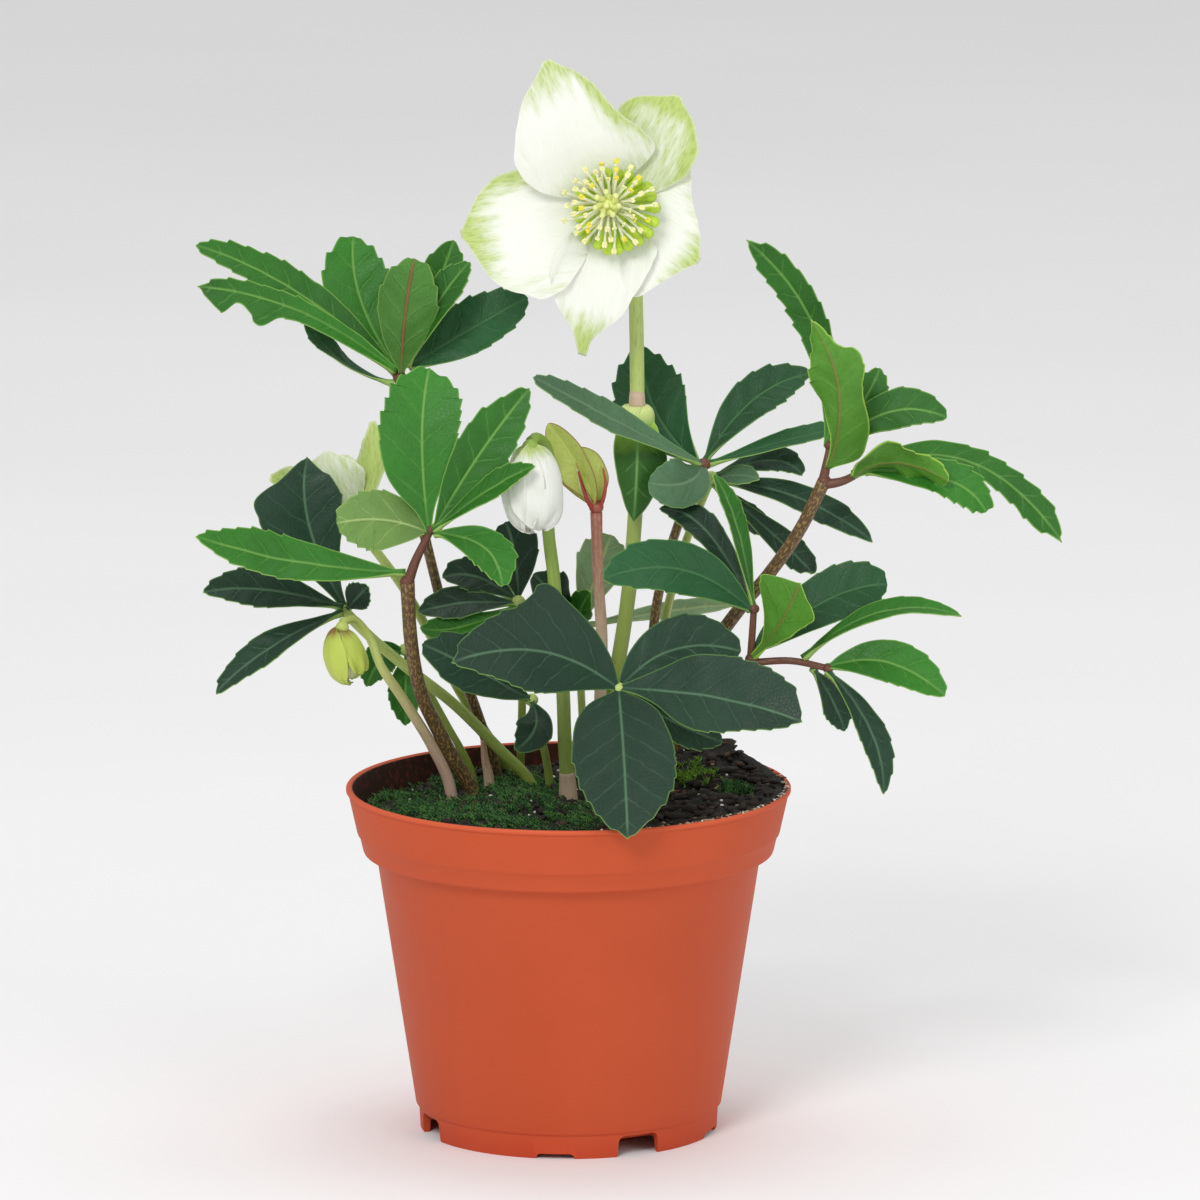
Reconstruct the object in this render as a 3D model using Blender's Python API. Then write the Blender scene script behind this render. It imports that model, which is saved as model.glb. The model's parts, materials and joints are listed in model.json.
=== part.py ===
"""A white hellebore in leaf, bud and flower, in a terracotta-coloured nursery pot.

Lengths are millimetres until a mesh is made. +Z is up, and the origin is on the pot's axis, on the
surface that the pot stands on. The plant was measured from the front and a little from above, so
its points are given in that picture plane, and seen() turns them into places in space.
"""

import math
import random
from dataclasses import dataclass

import bmesh
import bpy
from mathutils import Matrix, Vector
from mathutils.noise import noise

MM = 0.001
SEED = 12
SHARP_ANGLE = math.radians(45)

# Pot: 12 cm across its rim
POT_HEIGHT = 94.0
RIM_RADIUS = 60.0
WALL = 1.3
LIP_HEIGHT = 1.6
BAND_HEIGHT = 12.7
BAND_TAPER = 2.4
STEP_HEIGHT = 5.2
STEP_TAPER = 0.9
LEDGE = 3.3
BODY_TOP_RADIUS = 51.8
BODY_FOOT_RADIUS = 41.4
FOOT_HEIGHT = 6.6
FOOT_RADIUS = 40.2
FLOOR_HEIGHT = 4.0
PAD_RADIUS = 24.0
ROUND_SIDES = 34
TALL_NOTCHES = [28, 118, 208, 292]
TALL_NOTCH = (11.5, 5.8)
LOW_NOTCHES = [-5, 73, 163, 253]
LOW_NOTCH = (10.0, 1.4)

# Soil, with the gap that stems and wall keep to it
GAP = 0.35
SOIL_LEVEL = 88.0
SOIL_RINGS = [17, 35]
STEM_IN_SOIL = 12.0

# Blades
BLADE_THICK = 0.7
LEAFLET_STALK = 1.8
TOOTH = 0.055
KNUCKLE = 2.1

# The eye that the plant was measured from: it looks along +Y and a little down
VIEW_TILT = math.radians(10.8)
VIEW_DISTANCE = 3000.0
VIEW_OFFSET = (8.5, 49.9)

FRONT = (0.0, -0.97, 0.25)

COLOURS = {
    "pot": ((0.53, 0.10, 0.040), 0.45),
    "soil": ((0.012, 0.007, 0.004), 0.95),
    "leaf_bright": ((0.035, 0.19, 0.022), 0.42),
    "leaf_dark": ((0.018, 0.075, 0.045), 0.40),
    "leaf_pale": ((0.12, 0.28, 0.06), 0.50),
    "stalk_green": ((0.30, 0.42, 0.09), 0.45),
    "stalk_pink": ((0.52, 0.27, 0.20), 0.45),
    "petal_white": ((0.86, 0.88, 0.80), 0.55),
    "petal_green": ((0.42, 0.55, 0.10), 0.50),
    "flower_centre": ((0.62, 0.66, 0.16), 0.50),
}

# Directions around the view, for points in the picture plane
VIEW_ALONG = Vector((0, math.cos(VIEW_TILT), -math.sin(VIEW_TILT)))
VIEW_UP = Vector((0, math.sin(VIEW_TILT), math.cos(VIEW_TILT)))
RIM_CENTRE = Vector((0, 0, POT_HEIGHT))
EYE = RIM_CENTRE + Vector((VIEW_OFFSET[0], 0, 0)) + VIEW_UP * VIEW_OFFSET[1] - VIEW_ALONG * VIEW_DISTANCE


def seen(across, up, depth):
    """The point seen this far right of and above the rim's centre, this far behind the pot's axis."""
    on_plane = RIM_CENTRE + Vector((across, 0, 0)) + VIEW_UP * up
    ray = on_plane - EYE
    return EYE + ray * ((depth - EYE.y) / ray.y)


@dataclass
class Leaflet:
    """A blade from base over mid to tip, with the way its upper side faces. Angles in degrees."""

    base: tuple
    mid: tuple
    tip: tuple
    width: float
    face: tuple = FRONT
    fold: float = 12
    twist: float = 0
    cup: float = 0
    wave: float = 0
    widest: float = 0.58
    full: float = 0.8
    teeth: int = 2


@dataclass
class Petal:
    """A petal from base over mid to tip, with its reach to either side at even steps of its length."""

    base: tuple
    mid: tuple
    tip: tuple
    left: tuple
    right: tuple
    face: tuple = FRONT
    cup: float = 2.5


@dataclass
class Leaf:
    """A leaf stalk out of the soil, its side branches, and its leaflets."""

    stem: list
    radii: tuple
    leaflets: list
    branches: tuple = ()
    colour: str = "leaf_dark"


LEAVES = {
    "leaf_upper_left": Leaf(
        [
            (-19.5, 3.5, 38), (-24.5, 19, 32), (-31.5, 39, 26),
            (-38.5, 66, 20), (-44, 90.5, 15), (-45.5, 110, 12),
        ],
        (1.6, 1.3),
        [
            Leaflet((-45.5, 110, 12), (-73.5, 132.5, 6), (-100.5, 145.5, 0), 10, (0.15, -0.2, 0.95)),
            Leaflet((-46, 111, 11), (-71, 126.5, 2), (-100, 132, -6), 12, (0.1, -0.5, 0.85)),
            Leaflet((-46, 108, 12), (-60.5, 114, 14), (-71, 125.5, 18), 8, (-0.5, 0.1, 0.8)),
            Leaflet((-45.5, 111.5, 13), (-56, 130.5, 18), (-58, 148, 22), 18, (0.1, -0.95, 0.3), full=0.6),
            Leaflet(
                (-45, 110.5, 11), (-44, 127, 7), (-41.5, 142, 6),
                16, (0.1, 0.95, -0.2), full=0.6, teeth=1,
            ),
            Leaflet((-44, 112, 13), (-35, 130, 10), (-26.5, 141, 13), 11, (-0.5, -0.7, 0.5)),
            Leaflet((-44, 112, 14), (-36, 133, 17), (-31, 147, 21), 11, (0.1, -0.9, 0.3), teeth=1),
            Leaflet((-44, 112, 14), (-27, 122.5, 18), (-11, 131.5, 20), 13, (-0.1, -0.8, 0.6)),
        ],
        colour="leaf_bright",
    ),
    "leaf_front_left": Leaf(
        [
            (-26, -1.5, 13), (-30.5, 6, 9), (-35.5, 15.5, 4),
            (-40, 25.5, -2), (-42.5, 39, -8), (-43.5, 55, -14),
        ],
        (2.1, 1.8),
        [
            Leaflet(
                (-37.5, 67, -18), (-39, 93, -17), (-37.5, 112.5, -10),
                22, (0, -1, 0.15), full=0.6, teeth=3,
            ),
            Leaflet((-37, 68, -18), (-24.5, 88.5, -19), (-10.5, 107, -17), 14, (0.1, -0.95, 0.3)),
            Leaflet((-37, 68, -19), (-21.5, 79.5, -24), (-9, 86, -28), 9, (-0.2, -0.6, 0.8)),
            Leaflet((-37, 68, -19), (-23, 64, -27), (-18, 53.5, -33), 13, (0.35, -0.75, 0.5)),
            Leaflet((-37.5, 68, -17), (-50, 71.5, -16), (-62.5, 70.5, -15), 16, (0, 0.95, -0.3), full=0.55),
            Leaflet((-43, 57, -14), (-75, 60.5, -20), (-100.5, 67, -30), 14, (0, -0.75, 0.7), teeth=3),
        ],
        branches=([(-43.5, 54, -14), (-41, 61, -16), (-37, 69, -18)],),
        colour="leaf_bright",
    ),
    "leaf_dark_left": Leaf(
        [
            (-10.5, 1, 24), (-18.5, 9.5, 21), (-30.5, 21.5, 17),
            (-44, 32, 13), (-53.5, 40, 9), (-61, 47.5, 6),
        ],
        (1.6, 1.4),
        [
            Leaflet((-60, 47, 6), (-70, 70, 5), (-70.5, 88.5, 8), 23, (0.1, -0.95, 0.3), full=0.65),
            Leaflet((-60, 47.5, 5), (-81, 52.5, 0), (-98.5, 52, -8), 12, (0, -0.75, 0.65)),
            Leaflet((-60, 47, 4), (-80.5, 37, -4), (-95, 24.5, -10), 10, (-0.35, -0.6, 0.65)),
            Leaflet((-60, 47, 4), (-57, 50.5, 2), (-54, 53.5, 0), 8, (0, -0.9, 0.4)),
        ],
    ),
    "leaf_low_left": Leaf(
        [(-26.5, 4.5, 34), (-33.5, 17.5, 30), (-40, 29.5, 25), (-44, 36.5, 21)],
        (1.1, 0.9),
        [
            Leaflet((-43.5, 36, 21), (-50, 34.5, 17), (-54.5, 26.5, 14), 9, (0, -0.95, 0.3)),
            Leaflet((-43.5, 36, 21), (-44, 27, 18.5), (-44, 16, 18), 9, (0, -0.95, 0.3)),
        ],
        colour="leaf_bright",
    ),
    "leaf_front": Leaf(
        [(14.5, -1, 8), (14.5, 6.5, 2), (14, 16, -14), (13.5, 26, -30)],
        (1.5, 1.3),
        [
            Leaflet((14, 25.5, -30), (-7.5, 36, -38), (-31.5, 33, -46), 26, (0, -0.85, 0.55), teeth=3),
            Leaflet((13.5, 26, -30), (15, 6.5, -50), (16, -14.5, -66), 27, (0, -0.8, 0.65), teeth=3),
            Leaflet((13, 26, -30), (40, 23.5, -42), (63, 17, -50), 22, (0.05, -0.85, 0.55), teeth=3),
            Leaflet((13, 25.5, -29), (28.5, 36.5, -22), (46.5, 36, -18), 17, (0, -0.85, 0.5)),
            Leaflet((13, 25.5, -29), (28.5, 17, -26), (41.5, 11.5, -24), 12, (0, -0.8, 0.6)),
        ],
    ),
    "leaf_right": Leaf(
        [(21.5, 2.5, 14), (33, 15, 6), (43, 25.5, -5), (49.5, 34, -12)],
        (1.4, 1.2),
        [
            Leaflet((50, 46.5, -13), (30.5, 58.5, -18), (9.5, 55.5, -24), 15, (0, -0.8, 0.6), teeth=3),
            Leaflet((50, 46, -13), (45.5, 69, -10), (39, 84, -6), 8, (0.75, -0.6, 0.3)),
            Leaflet((50, 46, -13), (37.5, 68, -2), (24.5, 74.5, 4), 9, (0, -0.6, 0.8)),
            Leaflet(
                (49.5, 34, -13), (58, 45.5, -20), (63, 53.5, -24),
                20, (-0.3, -0.9, 0.4), full=0.5, teeth=1,
            ),
            Leaflet((49.5, 36, -12), (70, 50, -8), (86, 54, -6), 13, (0, -0.7, 0.7)),
            Leaflet((62.5, 33.5, -14), (84, 46.5, -18), (106, 45.5, -24), 9, (0, -0.4, 0.9)),
            Leaflet((69, 31.5, -15), (86, 32.5, -18), (101.5, 24, -24), 12, (0.1, -0.8, 0.6)),
            Leaflet((69, 31.5, -15), (81, 15.5, -22), (85, -2.5, -28), 9, (0.5, -0.7, 0.3)),
            Leaflet((65.5, 32, -15), (71, 23, -10), (74.5, 14.5, -8), 8, (0.3, -0.8, 0.3)),
        ],
        branches=(
            [(49, 33, -12), (49.5, 40, -13), (50, 47.5, -13)],
            [(49, 33, -12), (60, 33.5, -14), (70, 31.5, -15)],
        ),
    ),
    "leaf_right_top": Leaf(
        [
            (9.5, 2.5, 30), (22, 17, 24), (35.5, 33.5, 17), (46.5, 48, 11),
            (54.5, 57.5, 7), (62.5, 69, 3), (69, 82, 0),
        ],
        (2.0, 1.7),
        [
            Leaflet((70, 90, 1), (66.5, 122, 8), (48, 147, 4), 10, (-0.75, -0.4, 0.5), teeth=3),
            Leaflet((70, 85, -1), (74, 106, -8), (65.5, 125.5, -6), 16, (0.2, 0.9, 0.1), wave=1.5),
            Leaflet((70, 90, 1), (79, 102.5, 6), (84, 112.5, 10), 10, (0, -1, 0.2)),
            Leaflet((70, 90, 1), (86.5, 100.5, 2), (102, 99, 0), 11, (0, -0.7, 0.7)),
            Leaflet((76, 83.5, -2), (107, 87.5, -4), (133, 65.5, -14), 10, (0.1, -0.45, 0.85), teeth=3),
            Leaflet((79, 84.5, -3), (101.5, 83, -8), (112.5, 73.5, -12), 10, (0.2, -0.8, 0.5)),
            Leaflet((76, 83.5, -3), (88.5, 87, -12), (102.5, 81, -18), 10, (0, 0.6, 0.7), wave=1),
        ],
        branches=(
            [(68.5, 81, 0), (69.5, 86, 0), (70.5, 91.5, 1)],
            [(68.5, 81, 0), (74, 82, -1), (80, 85, -3)],
        ),
        colour="leaf_bright",
    ),
    "leaf_back_middle": Leaf(
        [(19.5, 5.5, 36), (21.5, 25.5, 32), (24, 50, 26), (29.5, 70, 20), (36.5, 86.5, 12)],
        (1.5, 1.2),
        [
            Leaflet((36.5, 85.5, 12), (23.5, 101, 28), (20, 118.5, 36), 19, (0, -1, 0.2)),
            Leaflet((36.5, 86, 12), (11, 98.5, -3), (-9.5, 110, -8), 8, (0, -0.5, 0.85)),
            Leaflet((36.5, 86, 12), (31, 81.5, 3), (21.5, 81.5, 0), 13.5, (0, -0.95, 0.3), full=0.5),
            Leaflet((36, 86, 12), (49.5, 103.5, 22), (65.5, 111, 26), 13, (-0.2, -0.8, 0.6)),
            Leaflet((36, 86, 12), (59.5, 93, 17), (78, 97.5, 20), 8, (0, -0.4, 0.9)),
        ],
    ),
    "leaf_back_right": Leaf(
        [(14.5, 7.5, 46), (22, 28.5, 42), (30, 60.5, 32), (38.5, 83, 20)],
        (1.3, 1.1),
        [
            Leaflet((38, 82.5, 20), (54, 87.5, 22), (63, 83.5, 18), 9, (0, -0.6, 0.8), teeth=1),
            Leaflet((38, 82.5, 20), (62.5, 77, 15), (82, 65.5, 10), 10, (0, -0.6, 0.8), teeth=1),
            Leaflet((38, 82.5, 21), (47.5, 73, 26), (55.5, 68, 30), 8, (0, -0.7, 0.7), teeth=1),
            Leaflet((38, 82.5, 21), (58.5, 64.5, 22), (65.5, 57, 18), 8, (0.3, -0.8, 0.3), teeth=1),
            Leaflet((38, 82.5, 20), (45, 83.5, 14), (51.5, 82.5, 10), 7, (0, -0.7, 0.7), teeth=1),
        ],
    ),
    "leaf_inner_left": Leaf(
        [(-13, 4.5, 38), (-12.5, 23, 30), (-13, 36.5, 22), (-13.5, 49.5, 16)],
        (1.2, 1.0),
        [
            Leaflet((-13, 49, 16), (-28.5, 49, 12), (-40.5, 46.5, 8), 10, (0, -0.7, 0.7), teeth=1),
            Leaflet((-13, 48.5, 16), (-29.5, 42.5, 8), (-40, 42.5, 4), 8, (0, -0.8, 0.6), teeth=1),
            Leaflet((-13, 49, 17), (-24.5, 56, 18), (-34, 56, 16), 10, (0, -0.8, 0.6), teeth=1),
            Leaflet((-13.5, 48.5, 17), (-14.5, 62, 20), (-17, 71, 22), 13, (0, -0.9, 0.3), teeth=1),
        ],
    ),
    "leaf_inner_low": Leaf(
        [(-5.5, 4, 24), (-7.5, 13.5, 17), (-10, 23, 10)],
        (1.2, 1.0),
        [
            Leaflet((-9.5, 22.5, 10), (-25, 31, -1), (-39.5, 38, -4), 16, (0, -0.8, 0.6), teeth=1),
            Leaflet((-10, 23, 10), (-9, 15.5, 0), (-14.5, 9.5, -6), 10, (0, -0.9, 0.3), teeth=1),
        ],
    ),
    "leaf_inner_middle": Leaf(
        [(4.5, 5.5, 42), (3.5, 23, 34), (2.5, 43.5, 25)],
        (1.2, 1.0),
        [
            Leaflet((2.5, 43, 25), (-3.5, 50.5, 16), (-9.5, 57, 14), 12, (0, -0.8, 0.6), teeth=1),
            Leaflet((2.5, 42.5, 25), (3.5, 47.5, 20), (6, 52, 16), 8, (0, -0.8, 0.6), teeth=1),
            Leaflet((2.5, 42.5, 25), (8, 58, 36), (11.5, 67.5, 42), 13, (0, -0.9, 0.3), teeth=1),
            Leaflet((2, 42.5, 25.5), (27.5, 47, 45), (45, 48.5, 44), 6, (0, -0.6, 0.7), teeth=1),
        ],
    ),
}


# Flowers, buds and their stalks
FLOWER_AT = (11.5, 156.0, -4.0)
FLOWER_AXIS = Vector((-0.12, -0.97, 0.22)).normalized()
PETALS = [
    Petal(
        (15.5, 159, 2.5), (23.5, 173, 1), (29.5, 186, -1),
        (6, 9, 11.5, 13, 10), (7, 10.5, 11.7, 10.5, 6.5),
    ),
    Petal(
        (9, 155, 1.5), (-10.5, 152, -3.5), (-29, 148.5, -2.5),
        (12, 19, 21, 18.5, 13.5), (9, 12.5, 14, 13.5, 9),
    ),
    Petal(
        (15.5, 154.5, 1.5), (25.5, 148, -2.5), (35, 141, -3),
        (15, 18.5, 13.5, 9.5, 6), (9, 14, 17, 17.5, 8),
    ),
    Petal((11, 153, 1), (8.5, 135, -5), (3.5, 116, -4), (12.5, 12.8, 10, 8, 2.5), (10, 13, 13.5, 10.8, 5)),
    Petal(
        (10.5, 158.5, 1), (2.5, 177, -5), (-6, 195.5, -5),
        (13, 18.5, 18.8, 15.5, 9.8), (16, 15.5, 11.8, 9.5, 6.5),
    ),
]
STAMENS = 24
STAMEN_SPREAD = (7.5, 10.5)
NECTARIES = 8
PISTILS = 5

STALKS = {
    "flower_stalk": [
        (6, -0.5, 20),
        (9.5, 15, 18),
        (13, 31, 16),
        (16, 50, 14),
        (17.5, 66, 13),
        (18.5, 85, 12),
        (18.5, 110, 11),
        (18, 133.5, 10),
        (16.5, 146.5, 8),
        (12.5, 155, 1),
    ],
    "bud_stalk": [
        (0, -3.5, 3),
        (-1, 12, 1),
        (-1.5, 25.5, -1),
        (-3, 44.5, -3),
        (-4, 56.5, -4),
        (-5.5, 70, -3),
        (-5, 84, -1.5),
        (-6, 91, -5),
        (-8.5, 93.5, -10),
        (-10, 92.5, -14),
    ],
    "bract_bud_stem": [(8, 3, 10), (8.5, 23, 10), (9, 39, 9), (8, 56, 8), (7.5, 73.5, 8)],
    "young_bud_stem": [
        (-32.5, 1.5, 8),
        (-36.5, 10, 5),
        (-40, 16, 2),
        (-45.5, 24.5, -2),
        (-50.5, 32, -5),
        (-53.5, 39.5, -3),
        (-57.5, 44.5, -5),
        (-61, 44, -9.5),
    ],
    "back_flower_stalk": [(-17, 5.5, 46), (-29.5, 25.5, 38), (-42.5, 50, 28), (-54, 66, 20), (-58, 73, 16)],
}
STALK_RADII = {
    "flower_stalk": (2.1, 1.9),
    "bud_stalk": (2.0, 1.5),
    "bract_bud_stem": (1.7, 1.5),
    "young_bud_stem": (1.7, 1.0),
    "back_flower_stalk": (1.4, 1.2),
}
SEATS = {
    "flower_stalk": ((12.5, 156, 1.5), (5.5, 3.0, 5.5)),
    "bud_stalk": ((-10.3, 91, -15.5), (2.3, 2.3, 2.3)),
    "bract_bud_stem": ((7.5, 75, 8), (2.0, 2.0, 2.0)),
    "young_bud_stem": ((-61, 42.5, -11), (1.8, 1.8, 1.8)),
    "back_flower_stalk": ((-58, 73, 16), (2.6, 2.6, 2.6)),
}
FLOWER_BRACTS = [
    Leaflet((18.5, 102, 10), (17, 86.5, 4), (17.5, 70.5, 5), 15, FRONT, fold=-15, full=0.6, teeth=0),
]
BUD = ((-10.5, 91.0, -16), (-9.0, 69.0, -18), 7.6)
YOUNG_BUD = ((-61, 42.0, -11), (-60, 28.0, -12), 5.6)
BRACTS = [
    Leaflet(
        (7.5, 74.5, 8), (2.5, 86, 4), (-5.5, 97.5, 4),
        10.5, (-0.5, -0.8, 0.3), fold=32, full=0.6, teeth=0,
    ),
    Leaflet((7.5, 74.5, 8), (6, 83, 7), (1.5, 91, 7), 9, (0.6, -0.8, 0.3), fold=28, full=0.6, teeth=0),
    Leaflet((7.5, 74.5, 8), (2, 83, 10), (-4, 90.5, 11), 8, (-0.6, -0.6, 0.5), full=0.6, teeth=0),
]
BRACT_BUD = ((6.5, 76, 8), (0.5, 92, 6), 3.2)
BACK_PETALS = [
    Leaflet(
        (-58, 73, 16), (-70, 79, 13), (-80.5, 83, 10),
        13, (0.3, -0.8, 0.5), fold=0, cup=2, full=0.6, teeth=0,
    ),
    Leaflet(
        (-58, 73, 15), (-63, 82, 13), (-65, 90, 16),
        16, (0.2, -0.9, 0.3), fold=0, cup=2, full=0.6, teeth=0,
    ),
    Leaflet(
        (-58, 73, 16), (-54, 86, 16), (-53.5, 98, 20),
        13, (-0.2, -0.9, 0.3), fold=0, cup=2, full=0.6, teeth=0,
    ),
    Leaflet(
        (-58, 73, 17), (-60, 82, 24), (-60, 89, 30),
        14, (0, -0.8, 0.5), fold=0, cup=2, full=0.6, teeth=0,
    ),
]
SHOOT = ([(-21.5, 2, 28), (-22.5, 7, 27), (-23, 12, 26)], (1.8, 0.7))


def clear_scene():
    for obj in list(bpy.data.objects):
        bpy.data.objects.remove(obj, do_unlink=True)


def material(name):
    """The plain material of this name, made once."""
    found = bpy.data.materials.get(name)
    if found:
        return found
    colour, rough = COLOURS[name]
    made = bpy.data.materials.new(name)
    made.use_nodes = True
    surface = made.node_tree.nodes["Principled BSDF"]
    surface.inputs["Base Color"].default_value = (*colour, 1)
    surface.inputs["Roughness"].default_value = rough
    surface.inputs["Metallic"].default_value = 0.0
    made.diffuse_color = (*colour, 1)
    return made


def shade(mesh):
    mesh.shade_smooth()
    mesh.set_sharp_from_angle(angle=SHARP_ANGLE)


def add_object(name, mesh, colour):
    """A shaded object from a mesh in millimetres."""
    mesh.transform(Matrix.Scale(MM, 4))
    mesh.materials.append(material(colour))
    shade(mesh)
    obj = bpy.data.objects.new(name, mesh)
    bpy.context.scene.collection.objects.link(obj)
    return obj


def from_faces(name, points, faces, colour):
    mesh = bpy.data.meshes.new(name)
    mesh.from_pydata(points, [], faces)
    return add_object(name, mesh, colour)


def combine(body, pieces, operation):
    """Joins the pieces to the body, or cuts them from it, with one Boolean, and removes them."""
    pool = bpy.data.collections.new(body.name + "_pieces")
    bpy.context.scene.collection.children.link(pool)
    for piece in pieces:
        bpy.context.scene.collection.objects.unlink(piece)
        pool.objects.link(piece)
    boolean = body.modifiers.new("Combine", "BOOLEAN")
    boolean.operation = operation
    boolean.solver = "MANIFOLD"
    boolean.operand_type = "COLLECTION"
    boolean.collection = pool
    graph = bpy.context.evaluated_depsgraph_get()
    mesh = bpy.data.meshes.new_from_object(body.evaluated_get(graph))
    body.modifiers.remove(boolean)
    body.data = mesh
    for piece in pieces:
        bpy.data.objects.remove(piece, do_unlink=True)
    bpy.data.collections.remove(pool)
    drop_scraps(body)
    shade(body.data)
    return body


def drop_scraps(body):
    """Keeps only the largest connected piece of a body."""
    shape = bmesh.new()
    shape.from_mesh(body.data)
    islands = []
    left = set(shape.verts)
    while left:
        front = [left.pop()]
        island = set(front)
        while front:
            for edge in front.pop().link_edges:
                for vert in edge.verts:
                    if vert in left:
                        left.remove(vert)
                        island.add(vert)
                        front.append(vert)
        islands.append(island)
    islands.sort(key=len)
    for island in islands[:-1]:
        bmesh.ops.delete(shape, geom=list(island), context="VERTS")
    shape.to_mesh(body.data)
    shape.free()


def smooth_route(points, per_span=2):
    """Points along a smooth curve through all of these."""
    ends = [points[0] * 2 - points[1], *points, points[-1] * 2 - points[-2]]
    route = [points[0]]
    for before, start, end, after in zip(ends, ends[1:], ends[2:], ends[3:]):
        for step in range(1, per_span + 1):
            t = step / per_span
            route.append(
                (
                    start * 2
                    + (end - before) * t
                    + (before * 2 - start * 5 + end * 4 - after) * t**2
                    + (start * 3 - before - end * 3 + after) * t**3
                )
                / 2
            )
    return route


def tube(name, points, radii, colour, sides=6):
    """A round stalk along a smooth route, with its radius even along it or given for each point."""
    route = smooth_route(points, 2 if len(points) < 6 else 1) if len(radii) == 2 else points
    along = (route[1] - route[0]).normalized()
    across = along.orthogonal().normalized()
    rings = []
    for index, point in enumerate(route):
        ahead = route[min(index + 1, len(route) - 1)] - route[max(index - 1, 0)]
        turn = along.rotation_difference(ahead)
        across = turn @ across
        along = ahead.normalized()
        other = along.cross(across)
        share = index / (len(route) - 1)
        radius = radii[0] + (radii[1] - radii[0]) * share if len(radii) == 2 else radii[index]
        rings.append(
            [
                point + (across * math.cos(a) + other * math.sin(a)) * radius
                for a in (2 * math.pi * side / sides for side in range(sides))
            ]
        )
    verts = [point for ring in rings for point in ring]
    faces = [tuple(reversed(range(sides)))]
    for row in range(len(rings) - 1):
        for side in range(sides):
            here, there = row * sides + side, row * sides + (side + 1) % sides
            faces.append((here, there, there + sides, here + sides))
    faces.append(tuple(range(len(verts) - sides, len(verts))))
    return from_faces(name, verts, faces, colour)


def solid_sheet(name, front, back, colour):
    """A closed sheet between two grids of points, both split into the same triangles."""
    rows, columns = len(front), len(front[0])
    verts = [point for grid in (front, back) for row in grid for point in row]
    offset = rows * columns

    def at(row, column):
        return row * columns + column

    faces = []
    for row in range(rows - 1):
        for column in range(columns - 1):
            a, b = at(row, column), at(row, column + 1)
            c, d = at(row + 1, column + 1), at(row + 1, column)
            if column < (columns - 1) / 2:
                halves = ((a, b, c), (a, c, d))
            else:
                halves = ((a, b, d), (b, c, d))
            for half in halves:
                faces.append(half)
                faces.append(tuple(offset + corner for corner in reversed(half)))
    rim = [at(0, column) for column in range(columns)]
    rim += [at(row, columns - 1) for row in range(1, rows)]
    rim += [at(rows - 1, column) for column in range(columns - 2, -1, -1)]
    rim += [at(row, 0) for row in range(rows - 2, 0, -1)]
    for start, end in zip(rim, rim[1:] + rim[:1]):
        faces.append((end, start, offset + start, offset + end))
    return from_faces(name, verts, faces, colour)


def blade_rows(leaflet):
    """(place along the blade, tooth share) of each row of a blade: teeth in its outer half."""
    rows = [(0.0, 0), (0.15, 0), (0.4, 0)]
    start, end = 0.46, 0.96
    if not leaflet.teeth:
        return rows + [(0.64, 0), (0.86, 0), (1.0, 0)]
    pitch = (end - start) / leaflet.teeth
    for tooth in range(leaflet.teeth):
        rows.append((start + pitch * (tooth + 0.55), 1))
        rows.append((start + pitch * (tooth + 0.8), -1))
    return rows + [(1.0, 0)]


def blade(name, leaflet, colour):
    """One thin blade with its fold, twist, wave and teeth."""
    base, mid, tip = (seen(*place) for place in (leaflet.base, leaflet.mid, leaflet.tip))
    base += (mid - base).normalized() * KNUCKLE / 2
    bend = mid * 2 - (base + tip) / 2
    peak = math.log(0.5) / math.log(leaflet.widest)
    lift = math.tan(math.radians(leaflet.fold))
    front, back = [], []
    for t, tooth in blade_rows(leaflet):
        point = base * (1 - t) ** 2 + bend * (2 * t * (1 - t)) + tip * t**2
        along = ((bend - base) * (1 - t) + (tip - bend) * t).normalized()
        facing = Matrix.Rotation(math.radians(leaflet.twist) * (t - 0.5), 3, along) @ Vector(leaflet.face)
        side = along.cross(facing).normalized()
        normal = side.cross(along)
        half = leaflet.width / 2 * max(math.sin(math.pi * min(t**peak, 1)), 0) ** leaflet.full
        half = max(half, LEAFLET_STALK / 2 if t < 0.2 else 0.35)
        half += tooth * TOOTH * leaflet.width / 2
        thick = max(BLADE_THICK, LEAFLET_STALK * (1 - t / 0.25))
        ridge = []
        for u in (-1, 0, 1):
            rise = abs(u) * half * lift + leaflet.cup * u * u * math.sin(math.pi * t)
            rise += leaflet.wave * u * u * math.sin(13 * t + 2 * u) * math.sin(math.pi * t)
            reach = along * (0.04 * leaflet.width * tooth * abs(u))
            ridge.append(point + side * (u * half) + normal * rise + reach)
        front.append([place + normal * thick / 2 for place in ridge])
        back.append([place - normal * thick / 2 for place in ridge])
    return solid_sheet(name, front, back, colour)


def petal_sheet(name, petal, colour):
    """A broad, dished petal with an outline of its own."""
    base, mid, tip = (seen(*place) for place in (petal.base, petal.mid, petal.tip))
    bend = mid * 2 - (base + tip) / 2
    steps = len(petal.left) + 1
    lefts, rights = (2.0, *petal.left, 1.2), (2.0, *petal.right, 1.2)
    front, back = [], []
    for row in range(steps + 1):
        t = row / steps
        point = base * (1 - t) ** 2 + bend * (2 * t * (1 - t)) + tip * t**2
        along = ((bend - base) * (1 - t) + (tip - bend) * t).normalized()
        side = along.cross(Vector(petal.face)).normalized()
        normal = side.cross(along)
        ridge = []
        for u in (-1, -0.5, 0, 0.5, 1):
            reach = u * (lefts[row] if u < 0 else rights[row])
            ridge.append(point + side * reach + normal * (petal.cup * u * u * math.sin(math.pi * t)))
        front.append([place + normal * BLADE_THICK / 2 for place in ridge])
        back.append([place - normal * BLADE_THICK / 2 for place in ridge])
    return solid_sheet(name, front, back, colour)


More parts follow.
